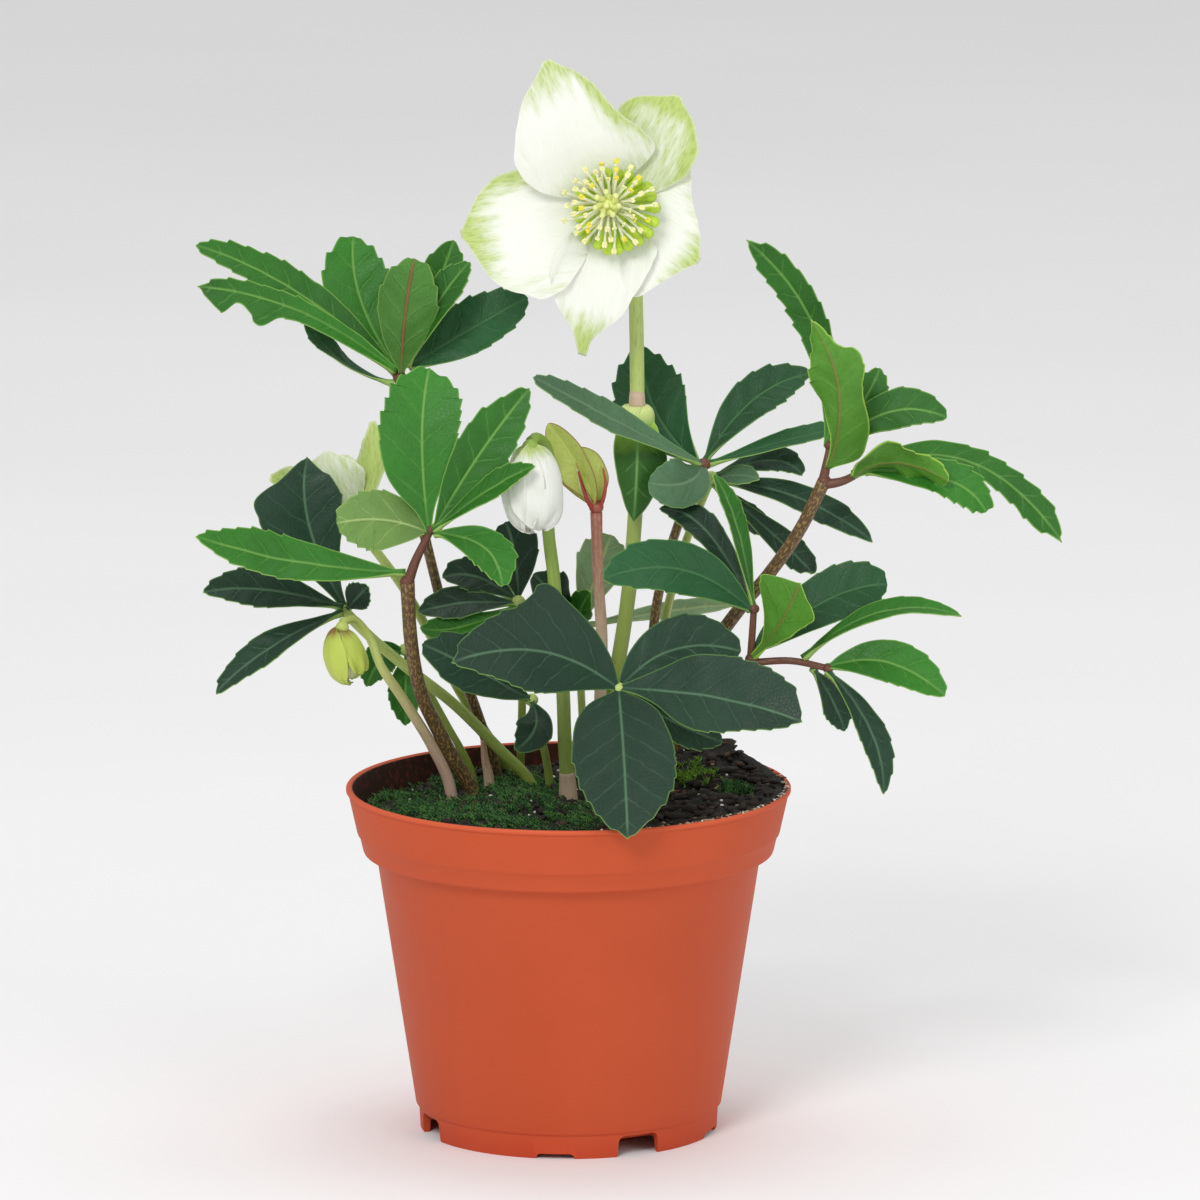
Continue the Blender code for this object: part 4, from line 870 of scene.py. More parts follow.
class Piece:
    """Gathers sheets, tubes and small bodies in millimetres, and makes one object of them.

    Each point carries its place on its blade or stalk (across and along, in millimetres), its
    distance from the edge, and a tint that its material reads."""

    def __init__(self, name):
        self.name = name
        self.points, self.place, self.edge = [], [], []
        self.faces, self.slots, self.materials = [], [], []
        self.count = 0

    def add_faces(self, faces, material, start):
        """Faces of one material, with their corners counted from this point on."""
        if material not in self.materials:
            self.materials.append(material)
        self.faces += [tuple(start + corner for corner in face) for face in faces]
        self.slots += [self.materials.index(material)] * len(faces)

    def add(self, points, faces, material, place=None, edge=None):
        points = np.asarray(points, float).reshape(-1, 3)
        self.points.append(points)
        for layer, values in ((self.place, place), (self.edge, edge)):
            layer.append(np.zeros((len(points), 2)) if values is None else np.reshape(values, (-1, 2)))
        self.add_faces(faces, material, self.count)
        self.count += len(points)

    def add_sheet(self, grid, upper, under):
        """A closed sheet from rows of (front, back, place, edge), with a material for either side."""
        front, back, place, edge = (
            np.array([spot[part] for row in grid for spot in row]) for part in range(4)
        )
        at = np.arange(len(front)).reshape(len(grid), -1)
        quads = np.stack([at[:-1, :-1], at[:-1, 1:], at[1:, 1:], at[1:, :-1]], axis=-1).reshape(-1, 4)
        rim = np.concatenate([at[0, :-1], at[:-1, -1], at[-1, :0:-1], at[:0:-1, 0]])
        after = np.roll(rim, -1)
        walls = np.stack([after, rim, rim + at.size, after + at.size], axis=-1)
        start = self.count
        both = [np.concatenate(pair) for pair in ((front, back), (place, place), (edge, edge))]
        self.add(both[0], quads.tolist(), upper, *both[1:])
        self.add_faces(np.concatenate([quads[:, ::-1] + at.size, walls]).tolist(), under, start)

    def add_tube(self, route, radii, material, sides=14, tints=None):
        """A round stalk along this route, with a radius at each point."""
        tints = tints or ramp(route, 0, 1)
        along = (route[1] - route[0]).normalized()
        across = along.orthogonal().normalized()
        rings, place, edge, length = [], [], [], 0.0
        for index, (point, radius) in enumerate(zip(route, radii)):
            ahead = route[min(index + 1, len(route) - 1)] - route[max(index - 1, 0)]
            across = along.rotation_difference(ahead) @ across
            along = ahead.normalized()
            other = along.cross(across)
            if index:
                length += (point - route[index - 1]).length
            for side in range(sides):
                angle = 2 * math.pi * side / sides
                rings.append(point + (across * math.cos(angle) + other * math.sin(angle)) * radius)
                place.append((abs(side / sides * 2 - 1) * radius * math.pi, length))
                edge.append((radius, tints[index]))
        faces = [tuple(reversed(range(sides)))]
        for start in range(0, len(rings) - sides, sides):
            for side in range(sides):
                here, there = start + side, start + (side + 1) % sides
                faces.append((here, there, there + sides, here + sides))
        faces.append(tuple(range(len(rings) - sides, len(rings))))
        self.add(rings, faces, material, place, edge)

    def add_ball(self, centre, radii, material, rings=10, sides=14, turn=None, tint=0.0):
        """A ball squashed to three radii, turned by a matrix."""
        points = [Vector((0, 0, 1))]
        for row in range(1, rings):
            polar = math.pi * row / rings
            flat = math.sin(polar)
            for side in range(sides):
                angle = 2 * math.pi * side / sides
                points.append(Vector((math.cos(angle) * flat, math.sin(angle) * flat, math.cos(polar))))
        points.append(Vector((0, 0, -1)))
        turn = turn or Matrix.Identity(3)
        placed = [Vector(centre) + turn @ Vector(p * r for p, r in zip(point, radii)) for point in points]
        self.add(placed, skin(rings - 1, sides), material, edge=[(radii[0], tint)] * len(points))

    def finish(self, slot, *nodes):
        """The object of all that was gathered, standing for these solids."""
        mesh = bpy.data.meshes.new(self.name)
        points = np.concatenate(self.points) * MM
        mesh.from_pydata(points.tolist(), [], self.faces)
        corners = np.empty(len(mesh.loops), np.int32)
        mesh.loops.foreach_get("vertex_index", corners)
        for layer, values in (("place", self.place), ("edge", self.edge)):
            coordinates = mesh.uv_layers.new(name=layer)
            values = np.concatenate(values)[corners].astype(np.float32)
            coordinates.uv.foreach_set("vector", values.ravel())
        for material in self.materials:
            mesh.materials.append(material)
        mesh.polygons.foreach_set("material_index", self.slots)
        mesh.shade_smooth()
        obj = bpy.data.objects.new(self.name, mesh)
        bpy.context.scene.collection.objects.link(obj)
        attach(obj, "root")
        if nodes:
            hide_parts(*nodes)
        return obj


def add_stalk(piece, stalk, material, tints=(0.0, 1.0)):
    """A stalk from within the soil, a little thicker at its top. Gives back its route."""
    points = [seen(*place) for place in stalk.stem]
    down = ((points[0] - points[1]).normalized() + Vector((0, 0, -1.2))).normalized()
    route = smooth_route([points[0] + down * STEM_IN_SOIL, *points])
    sizes = []
    for size, share, point in zip(ramp(route, *stalk.radii), ramp(route, 0, 1), route):
        sizes.append(size * (1 + 0.12 * max(0, (share - 0.88) / 0.12) ** 2 + 0.03 * noise(point / 6)))
    piece.add_tube(route, sizes, material, tints=ramp(route, *tints))
    return route


def stalk_piece(name, material, tints=(0.0, 1.0)):
    """A piece that starts with the stalk of this name."""
    piece = Piece(name + "_fine")
    add_stalk(piece, STALKS[name], material, tints)
    return piece


def add_seat(piece, name, material, rings=10, sides=14, tint=1.0):
    """The ball on the stalk of this name that its flower or bud sits on."""
    stalk = STALKS[name]
    piece.add_ball(seen(*stalk.seat), stalk.seat_radii, material, rings, sides, tint=tint)


def tooth(t, side, count, seed):
    """How far a forward-pointing tooth stands out of a blade's edge at this place along it."""
    if not count or not TEETH_FROM < t < TEETH_TO:
        return 0.0
    share = (t - TEETH_FROM) / (TEETH_TO - TEETH_FROM) * count + (0.45 if side > 0 else 0.0)
    number = math.floor(share)
    share -= number
    rise = (share / TOOTH_TOP) ** 1.3 if share < TOOTH_TOP else (1 - share) / (1 - TOOTH_TOP)
    size = 0.85 + 0.7 * noise(Vector((number * 1.7, side * 3, seed)))
    return rise * size * min(1, (t - TEETH_FROM) / 0.12)


def reaches_at(leaflet, t):
    """How far a blade reaches to its left and right this far along it."""
    if leaflet.reach:
        return [max(reach_line(line, (0.8, 0.1), t), LEAST_REACH) for line in leaflet.reach]
    peak = math.log(0.5) / math.log(BLADE_WIDEST)
    half = leaflet.width / 2 * max(math.sin(math.pi * min(t**peak, 1)), 0) ** leaflet.full
    half = max(half, LEAFLET_STALK / 2 * max(0, 1 - t / 0.22), LEAST_REACH)
    return [half, half]


def add_blade(piece, leaflet, upper, under, draw, settings, veins=0.22):
    """One thin leaflet with its fold, wave, raised fields between veins, and teeth."""
    base, mid, tip = (seen(*place) for place in (leaflet.base, leaflet.mid, leaflet.tip))
    base += (mid - base).normalized() * KNUCKLE / 2
    length = (mid - base).length + (tip - mid).length
    lift = math.tan(math.radians(leaflet.fold))
    count = leaflet.teeth * 2 + 1 if leaflet.teeth else 0
    depth = settings.tooth_depth / MM * min(1.2, leaflet.width / 16) * leaflet.tooth
    thin = settings.blade_thickness / MM
    phase, ripple, seed = draw.uniform(0, 6), draw.uniform(0.25, 0.6), draw.uniform(0, 90)
    flat = draw.uniform(0.15, 0.75)
    tone = leaflet.tone or (flat - 0.12, flat + 0.12)
    grid = []
    for t in BLADE_ROWS:
        point, along = on_arc(base, mid, tip, t)
        side = along.cross(Vector(leaflet.face)).normalized()
        normal = side.cross(along)
        halves = reaches_at(leaflet, t)
        belly = math.sin(math.pi * t)
        row = []
        for u in BLADE_COLUMNS:
            sign = 1 if u > 0 else -1
            half = halves[u > 0]
            out = tooth(t, sign, count, seed) * depth
            out += 0.22 * noise(Vector((t * length / 5, sign * 4, seed))) * min(1, half / 4)
            wide = half + out * min(1, half / 2)
            across = u * (wide if abs(u) > 0.9 else half + (wide - half) * abs(u))
            rise = lift * (math.hypot(across, 0.8) - 0.8)
            rise += leaflet.wave * u * u * math.sin(13 * t + 2 * u) * belly
            rise += ripple * u * u * math.sin(9 * t + phase + 2.2 * sign) * belly * min(1, half / 5)
            rise += 0.5 * noise(Vector((across / 6, t * length / 9, seed))) * belly * min(1, half / 6)
            fields = math.sin(2 * math.pi * (t * length - abs(across) * VEIN_SLOPE) / VEIN_PITCH)
            rise += veins * fields * abs(u) * (1 - abs(u)) * 4 * belly * min(1, half / 5)
            groove = math.exp(-((across / 0.6) ** 2)) * (1 - 0.75 * t)
            thick = thin * (1 - 0.45 * abs(u) ** 2)
            stalk = max(0.0, LEAFLET_STALK * (1 - t / 0.2) - thick)
            middle = point + side * across + normal * rise + along * (out * abs(u) * 0.9)
            front = middle + normal * (thick / 2 + stalk / 2 - 0.28 * groove * min(1, t / 0.1))
            back = middle - normal * (thick / 2 + stalk / 2 + 0.42 * groove)
            tint = tone[0] + (tone[1] - tone[0]) * t
            row.append((front, back, (across, t * length), (max(wide - abs(across), 0), tint)))
        grid.append(row)
    piece.add_sheet(grid, upper, under)


def add_petal(piece, petal, material, draw, settings):
    """A broad, dished petal with an uneven edge, soft folds and its own greening."""
    base, mid, tip = (seen(*place) for place in (petal.base, petal.mid, petal.tip))
    length = (mid - base).length + (tip - mid).length
    thin = settings.petal_thickness / MM
    seed = draw.uniform(0, 90)
    left_green, tip_green, right_green, all_green = petal.green
    rows, columns = PETAL_GRID
    grid = []
    for step in range(rows):
        t = step / (rows - 1)
        point, along = on_arc(base, mid, tip, t)
        side = along.cross(Vector(petal.face)).normalized()
        normal = side.cross(along)
        belly = math.sin(math.pi * t)
        left, right = (
            reach_line(line, (2.0, 1.0), t) + 0.55 * noise(Vector((t * 9, shift, seed))) * min(1, t * 4)
            for line, shift in ((petal.left, 0), (petal.right, 5))
        )
        row = []
        for column in range(columns):
            u = -math.cos(math.pi * column / (columns - 1))
            across = u * max(left if u < 0 else right, 0.1)
            rise = petal.cup * u * u * belly
            rise += 0.55 * noise(Vector((across / 7, t * length / 13, seed))) * min(1, t * 5)
            rise += 0.5 * abs(u) ** 4 * math.sin(11 * t + seed + 2 * (u > 0)) * belly
            rise -= 0.5 * math.exp(-((across / 1.6) ** 2)) * (1 - t)
            rise += 0.09 * math.sin(across * 2.6 * (1 - 0.3 * t)) * belly
            middle = point + side * across + normal * rise
            green = max(
                left_green * max(0, -u - 0.35) / 0.65 * min(1, t * 2),
                right_green * max(0, u - 0.35) / 0.65 * min(1, t * 2),
                tip_green * max(0, t - 0.62) / 0.38,
                0.55 * max(0, 1 - t / 0.3),
                all_green,
            )
            wall = normal * (thin / 2 * (1 - 0.5 * abs(u) ** 3))
            rim = min(left + across, right - across, (1 - t) * length)
            row.append((middle + wall, middle - wall, (across, t * length), (rim, green)))
        grid.append(row)
    piece.add_sheet(grid, material, material)


def add_bud(piece, bud, material, core, settings):
    """A closed bud: petals wrapped one over another around a smaller core."""
    top, bottom, radius, seed = seen(*bud.top), seen(*bud.bottom), bud.radius, bud.seed
    axes = frame_between(top, bottom)
    centre = (top + bottom) / 2
    tall = (top - bottom).length / 2
    piece.add_ball(centre, (radius * 0.84, radius * 0.84, tall * 0.9), core, 14, 18, axes, 0.3)
    rows, columns = WRAP_GRID
    thin = settings.petal_thickness / MM
    for number, (facing, half_spread, scale, start, end, opening) in enumerate(bud.wraps):
        grid = []
        for step in range(rows):
            t = step / (rows - 1)
            v = start + t * (end - start)
            swell = math.sin(math.pi * min(max(v, 0.02) ** 0.85, 1)) ** 0.5
            spread = math.radians(half_spread) * swell + 0.03
            spread *= 1 + 0.08 * noise(Vector((t * 5, number * 7, seed)))
            row = []
            for column in range(columns):
                u = 1 - 2 * column / (columns - 1)
                ragged = 0.045 * noise(Vector((u * 2.6, number * 3, seed)))
                ragged += 0.012 * math.sin(19 * u + number)
                polar = math.pi * (v + ragged * t * t - 0.05 * u * u * t)
                waves = 0.7 + 0.5 * math.sin(7 * u + number * 2)
                flare = 1 + opening * max(0, (t - 0.55) / 0.45) ** 1.5 * waves
                curl = 1 + 0.05 * abs(u) ** 4
                curl += bud.frill * 0.04 * math.sin(9 * t + 2 * u + number) * u * u
                curl += 0.025 * noise(Vector((u * 2, t * 4, seed + number)))
                angle = math.radians(facing) + u * spread
                flat = math.sin(polar)
                ball = Vector((math.cos(angle) * flat, math.sin(angle) * flat, math.cos(polar)))
                spot = Vector((ball.x * radius, ball.y * radius, ball.z * tall)) * scale * curl
                spot.x *= flare
                spot.y *= flare
                middle = centre + axes @ spot
                out = (axes @ Vector((ball.x / radius, ball.y / radius, ball.z / tall))).normalized()
                wall = out * thin / 2
                place = (u * spread * radius, t * tall * 2)
                rim = max(min((1 - abs(u)) * radius, (1 - t) * tall * 2), 0)
                row.append((middle + wall, middle - wall, place, (rim, max(0, 1 - v / 0.34))))
            grid.append(row)
        piece.add_sheet(grid, material, material)


def node(tree, kind, inputs=None, **settings):
    """A new shader node with these settings, and with values or links for its inputs."""
    made = tree.nodes.new(kind)
    for name, value in settings.items():
        setattr(made, name, value)
    for key, value in (inputs or {}).items():
        if isinstance(value, bpy.types.NodeSocket):
            tree.links.new(value, made.inputs[key])
        else:
            made.inputs[key].default_value = value
    return made


def maths(tree, operation, *values):
    return node(tree, "ShaderNodeMath", dict(enumerate(values)), operation=operation).outputs[0]


def times(tree, *values):
    return maths(tree, "MULTIPLY", *values)


def span(tree, value, low, high, start=0.0, end=1.0, ease="SMOOTHSTEP"):
    """The value brought from start to end as it runs from low to high."""
    inputs = {0: value, 1: low, 2: high, 3: start, 4: end}
    return node(tree, "ShaderNodeMapRange", inputs, interpolation_type=ease).outputs[0]


def noise_at(tree, place, scale, detail, **inputs):
    inputs |= {"Vector": place, "Scale": scale, "Detail": detail}
    return node(tree, "ShaderNodeTexNoise", inputs).outputs[0]


def blend_colour(tree, share, first, second):
    first, second = ((*value, 1) if isinstance(value, tuple) else value for value in (first, second))
    inputs = {0: share, 6: first, 7: second}
    return node(tree, "ShaderNodeMix", inputs, data_type="RGBA").outputs[2]


def tinted(colour, *shifts):
    """The colour times a factor, or times one for each of its parts."""
    shifts = shifts * 3 if len(shifts) == 1 else shifts
    return tuple(part * shift for part, shift in zip(colour, shifts))


def layer_parts(tree, name):
    """The two values that each point carries in this layer."""
    layer = node(tree, "ShaderNodeUVMap", uv_map=name)
    parts = node(tree, "ShaderNodeSeparateXYZ", {0: layer.outputs[0]})
    return parts.outputs[0], parts.outputs[1]


def stretched_place(tree, stretch):
    """Each point's place on its stalk or petal, with the part along it scaled."""
    across, along = layer_parts(tree, "place")
    return node(tree, "ShaderNodeCombineXYZ", {0: across, 1: times(tree, along, stretch)}).outputs[0]


def new_group(name, inputs, outputs):
    """An empty shader node group with float inputs (with defaults) and named outputs."""
    tree = bpy.data.node_groups.new(name, "ShaderNodeTree")
    for socket, default in inputs.items():
        made = tree.interface.new_socket(socket, in_out="INPUT", socket_type="NodeSocketFloat")
        made.default_value = default
    for socket in outputs:
        tree.interface.new_socket(socket, in_out="OUTPUT", socket_type="NodeSocketFloat")
    return tree, node(tree, "NodeGroupInput").outputs, node(tree, "NodeGroupOutput").inputs


def vein_group(name):
    """Midrib, side veins, fine network and pale edge of a leaflet, from each point's place on it."""
    inputs = {
        "Pitch": VEIN_PITCH,
        "Slope": VEIN_SLOPE,
        "Vein Width": 0.5,
        "Midrib Width": 0.6,
        "Edge Width": 0.42,
    }
    outputs = ["Midrib", "Veins", "Edge", "Network", "Height"]
    tree, given, result = new_group(name, inputs, outputs)
    across, along = layer_parts(tree, "place")
    rim, _ = layer_parts(tree, "edge")
    across = maths(tree, "ABSOLUTE", across)
    spot = node(tree, "ShaderNodeCombineXYZ", {0: across, 1: along}).outputs[0]
    wander = maths(tree, "MULTIPLY_ADD", noise_at(tree, spot, 0.22, 2.0), 2.6, -1.3)
    climb = maths(tree, "SUBTRACT", along, times(tree, across, given["Slope"]))
    phase = maths(tree, "DIVIDE", maths(tree, "ADD", climb, wander), given["Pitch"])
    beside = maths(tree, "ABSOLUTE", maths(tree, "SUBTRACT", maths(tree, "FRACT", phase), 0.5))
    off_vein = times(tree, maths(tree, "SUBTRACT", 0.5, beside), given["Pitch"])
    fading = span(tree, noise_at(tree, spot, 0.35, 1.0), 0.32, 0.55, 0.25, 1.0)
    inside = times(tree, span(tree, rim, 0.5, 2.5), fading)
    veins = times(tree, span(tree, off_vein, 0.05, given["Vein Width"], 1, 0, "LINEAR"), inside)
    midrib = span(tree, across, 0.2, given["Midrib Width"], 1, 0, "LINEAR")
    rib = times(tree, midrib, span(tree, rim, 1.0, 6.0, 0.35, 1.0))
    edge = span(tree, rim, 0.06, given["Edge Width"], 1, 0, "LINEAR")
    cells = node(
        tree,
        "ShaderNodeTexVoronoi",
        {"Vector": spot, "Scale": 0.85},
        feature="DISTANCE_TO_EDGE",
        voronoi_dimensions="2D",
    )
    network = span(tree, cells.outputs["Distance"], 0.0, 0.12, 1.0, 0.0)
    height = maths(tree, "MULTIPLY_ADD", network, 0.16, times(tree, veins, 0.6))
    height = maths(tree, "MAXIMUM", height, rib)
    for output, value in zip(outputs, (rib, veins, edge, network, height)):
        tree.links.new(value, result[output])
    return tree


def mottle_group(name):
    """Soft blotches and fine grain over any surface, from its place in space."""
    inputs = {"Blotch Scale": 60.0, "Grain Scale": 900.0}
    tree, given, result = new_group(name, inputs, ["Blotch", "Grain"])
    place = node(tree, "ShaderNodeTexCoord").outputs["Object"]
    blotch = noise_at(tree, place, given["Blotch Scale"], 3.0, Roughness=0.55)
    tree.links.new(span(tree, blotch, 0.3, 0.7), result["Blotch"])
    tree.links.new(noise_at(tree, place, given["Grain Scale"], 2.0), result["Grain"])
    return tree


def streak_group(name):
    """Broad and fine streaks that run along a stalk or a petal, from each point's place on it."""
    inputs = {"Stretch": 0.12, "Broad Scale": 1.6, "Fine Scale": 1.7}
    tree, given, result = new_group(name, inputs, ["Broad", "Fine"])
    place = stretched_place(tree, given["Stretch"])
    for width, detail in (("Broad", 3.5), ("Fine", 2.0)):
        tree.links.new(noise_at(tree, place, given[width + " Scale"], detail), result[width])
    return tree


def speck_group(name):
    """Short specks strewn along a stalk, from each point's place on it."""
    tree, given, result = new_group(name, {"Stretch": 0.45, "Scale": 1.7, "Share": 0.8}, ["Specks"])
    dots = noise_at(tree, stretched_place(tree, given["Stretch"]), given["Scale"], 3.0)
    tree.links.new(times(tree, span(tree, dots, 0.5, 0.6), given["Share"]), result["Specks"])
    return tree


GROUPS = {
    "leaf_veins": vein_group,
    "mottle": mottle_group,
    "streaks": streak_group,
    "specks": speck_group,
}


def group_node(tree, name, **values):
    """The outputs of a node of this group, which is made where it is first used."""
    made = node(tree, "ShaderNodeGroup")
    made.node_tree = bpy.data.node_groups.get(name) or GROUPS[name](name)
    for key, value in values.items():
        made.inputs[key.replace("_", " ").title()].default_value = value
    return made.outputs


def made_once(build):
    """Lets a material be built only the first time that its name is asked for."""

    def find(name, *looks, **settings):
        return bpy.data.materials.get(name) or build(name, *looks, **settings)

    return find


def new_material(name):
    made = bpy.data.materials.new(name)
    made.use_nodes = True
    tree = made.node_tree
    return made, tree, tree.nodes["Principled BSDF"]


def dress(tree, surface, colour, gloss, height, depth):
    """Gives a surface its colour, roughness and relief."""
    bump = node(tree, "ShaderNodeBump", {"Height": height, "Distance": depth * MM})
    links = {"Base Color": colour, "Roughness": gloss, "Normal": bump.outputs[0]}
    for name, value in links.items():
        tree.links.new(value, surface.inputs[name])


@made_once
def leaf_material(name, colour, vein, edge, rib, raised, rough, share, light=None):
    """One side of a leaf: its green with soft blotches, paler veins and a thin pale edge."""
    made, tree, surface = new_material(name)
    veins = group_node(tree, "leaf_veins")
    mottle = group_node(tree, "mottle", blotch_scale=55.0)
    _, tint = layer_parts(tree, "edge")
    deep, light = tinted(colour, 0.6), light or tinted(colour, 1.4)
    turn = maths(tree, "MULTIPLY_ADD", mottle["Blotch"], 0.3, maths(tree, "SUBTRACT", tint, 0.15))
    base = blend_colour(tree, turn, deep, light)
    base = blend_colour(tree, span(tree, mottle["Grain"], 0.45, 0.75, 0.0, 0.3), base, deep)
    for output, strength, paint in (
        ("Network", share * 0.22, vein),
        ("Veins", share, vein),
        ("Midrib", 0.8, rib),
        ("Edge", 0.75, edge),
    ):
        base = blend_colour(tree, times(tree, veins[output], strength), base, paint)
    gloss = maths(tree, "MULTIPLY_ADD", mottle["Blotch"], 0.14, rough)
    relief = maths(tree, "MULTIPLY_ADD", mottle["Grain"], 0.2, times(tree, veins["Height"], raised))
    surface.inputs["Specular IOR Level"].default_value = 0.32
    dress(tree, surface, base, gloss, relief, 0.3)
    return made


@made_once
def stalk_material(name, low, high, specks=None, speck_share=0.0):
    """A stalk that turns from one colour to another along its length, streaked and speckled."""
    made, tree, surface = new_material(name)
    _, tint = layer_parts(tree, "edge")
    mottle = group_node(tree, "mottle", blotch_scale=120.0)
    streak = group_node(tree, "streaks")["Broad"]
    turn = maths(tree, "ADD", tint, maths(tree, "MULTIPLY_ADD", streak, 0.5, -0.25))
    base = blend_colour(tree, span(tree, turn, 0.15, 0.85), low, high)
    base = blend_colour(tree, span(tree, streak, 0.52, 0.75, 0.0, 0.6), base, tinted(low, 0.6))
    if specks:
        strewn = group_node(tree, "specks", share=speck_share)
        base = blend_colour(tree, strewn["Specks"], base, specks)
    gloss = maths(tree, "MULTIPLY_ADD", mottle["Blotch"], 0.15, 0.42)
    dress(tree, surface, base, gloss, streak, 0.25)
    return made


@made_once
def petal_material(name, white, green):
    """White petals that turn streaky green where each point's tint says so, with faint long veins."""
    made, tree, surface = new_material(name)
    rim, tint = layer_parts(tree, "edge")
    streaks = group_node(tree, "streaks", stretch=0.2, broad_scale=0.55)
    fine = streaks["Fine"]
    mottle = group_node(tree, "mottle", blotch_scale=45.0)
    share = maths(tree, "MULTIPLY_ADD", streaks["Broad"], 0.9, maths(tree, "SUBTRACT", tint, 0.62))
    mask = span(tree, maths(tree, "ADD", share, times(tree, tint, 0.35)), -0.05, 0.75)
    cool = tinted(white, 0.90, 0.94, 0.86)
    base = blend_colour(tree, times(tree, mottle["Blotch"], 0.5), white, cool)
    base = blend_colour(tree, span(tree, fine, 0.5, 0.72, 0.0, 0.22), base, cool)
    base = blend_colour(tree, times(tree, mask, 0.85), base, green)
    streaky = times(tree, mask, span(tree, fine, 0.45, 0.7, 0.0, 0.5))
    base = blend_colour(tree, streaky, base, tinted(green, 0.62))
    base = blend_colour(tree, span(tree, rim, 0.1, 0.9, 0.35, 0.0), base, white)
    surface.inputs["Subsurface Weight"].default_value = 0.15
    surface.inputs["Subsurface Radius"].default_value = (1.0, 1.0, 0.7)
    surface.inputs["Subsurface Scale"].default_value = 0.003
    dress(tree, surface, base, maths(tree, "MULTIPLY_ADD", mottle["Grain"], 0.15, 0.45), fine, 0.18)
    return made


@made_once
def plain_material(name, colour, rough, grain=0.2, spread=0.25, scale=200.0, depth=0.15, fine=1500.0):
    """One colour with soft blotches, a varied gloss and a fine grain."""
    made, tree, surface = new_material(name)
    mottle = group_node(tree, "mottle", blotch_scale=scale, grain_scale=fine)
    deep = tinted(colour, 1 - spread)
    light = tuple(min(part, 1) for part in tinted(colour, 1 + spread))
    base = blend_colour(tree, mottle["Blotch"], deep, light)
    base = blend_colour(tree, times(tree, mottle["Grain"], grain), base, deep)
    gloss = maths(tree, "MULTIPLY_ADD", mottle["Blotch"], 0.12, rough)
    dress(tree, surface, base, gloss, mottle["Grain"], depth)
    return made


@made_once
def pot_material(name, colour):
    """Moulded plastic: even terracotta colour, darker and redder at its foot, with fine scuffs."""
    made, tree, surface = new_material(name)
    mottle = group_node(tree, "mottle", blotch_scale=28.0, grain_scale=700.0)
    place = node(tree, "ShaderNodeTexCoord").outputs["Object"]
    side, _, height = node(tree, "ShaderNodeSeparateXYZ", {0: place}).outputs
    low = tinted(colour, 0.98, 0.74, 0.8)
    worn = tuple(min(part * 1.12 + 0.012, 1) for part in colour)
    lip = tuple(min(part * 1.35 + 0.02, 1) for part in colour)
    base = blend_colour(tree, span(tree, height, 0.0, 0.012, 0.8, 0.0), colour, low)
    base = blend_colour(tree, times(tree, mottle["Blotch"], 0.35), base, worn)
    # Painted highlight: the top of the lip is blended towards lip, a lightened copy of the pot colour
    base = blend_colour(tree, span(tree, height, 0.0925, 0.0938, 0.0, 0.55), base, lip)
    ring = node(tree, "ShaderNodeMapping", {"Vector": place, "Scale": (1, 1, 14)})
    scuff = noise_at(tree, ring.outputs[0], 90.0, 4.0)
    base = blend_colour(tree, span(tree, scuff, 0.6, 0.8, 0.0, 0.12), base, worn)
    # Painted shade: the pot's inside above the soil is darkened to a soil brown, more at its left, broken
    # up by grain
    flat = node(tree, "ShaderNodeVectorMath", {0: place, 1: (1, 1, 0)}, operation="MULTIPLY").outputs[0]
    from_axis = node(tree, "ShaderNodeVectorMath", {0: flat}, operation="LENGTH").outputs["Value"]
    wall = maths(tree, "MULTIPLY_ADD", height, -INNER_SLOPE, from_axis)
    inner_shade = times(
        tree,
        span(tree, wall, INNER_WALL - 0.0001, INNER_WALL + 0.0002, 1.0, 0.0),
        span(tree, side, -0.02, 0.03, 0.97, 0.75),
    )
    inner_shade = times(tree, inner_shade, span(tree, mottle["Grain"], 0.25, 0.5, 0.8, 1.0))
    inner_shade = times(tree, inner_shade, span(tree, height, 0.078, 0.08))
    base = blend_colour(tree, inner_shade, base, screen(34, 22, 17))
    gloss = maths(tree, "MULTIPLY_ADD", mottle["Blotch"], 0.12, 0.52)
    relief = maths(tree, "MULTIPLY_ADD", scuff, 0.3, mottle["Grain"])
    surface.inputs["Specular IOR Level"].default_value = 0.16
    dress(tree, surface, base, gloss, relief, 0.06)
    return made


def white_petal():
    plant = bpy.context.scene.hellebore
    return petal_material("white_petal", tuple(plant.petal), tuple(plant.petal_green))


# Sides of leaves: colour (or the setting that has it), veins, edge and midrib, relief, roughness, how
# strongly the veins show, and a colour for the lightest parts where that isn't the first one lightened
LEAF_SIDES = {
    "leaf_underside": ("under_leaf", (158, 186, 112), (160, 190, 104), (158, 186, 112), 1.0, 0.5, 0.5),
    "shaded_underside": ((72, 124, 48), (102, 144, 72), (140, 174, 84), (140, 84, 58), 1.0, 0.5, 0.3),
    "young_leaf": ((74, 128, 36), (102, 152, 58), (168, 206, 84), (120, 116, 54), 0.6, 0.45, 0.35),
    "bright_leaf_top": ("bright_leaf", (92, 150, 64), (132, 182, 78), (112, 164, 76), -0.8, 0.42, 0.4),
    "dark_leaf_top": ("dark_leaf", (70, 102, 78), (100, 144, 72), (86, 120, 92), -0.8, 0.42, 0.4),
    "deep_leaf_top": ((28, 78, 40), (64, 110, 66), (96, 148, 66), (64, 110, 66), -0.7, 0.42, 0.4),
    "hazy_leaf": ((124, 152, 112), (176, 190, 128), (176, 190, 128), (176, 190, 128), -0.5, 0.55, 0.3),
    "grey_leaf": ((74, 108, 76), (104, 136, 100), (110, 156, 84), (104, 136, 100), -0.5, 0.5, 0.3),
    "flower_bract": (
        (60, 118, 44), (110, 158, 84), (178, 204, 124), (110, 158, 84), 0.5, 0.42, 0.35, (150, 196, 66),
    ),
    "bract_skin": (
        (190, 206, 66), (206, 218, 120), (160, 50, 42), (206, 218, 120), 0.5, 0.45, 0.3, (196, 208, 112),
    ),
}
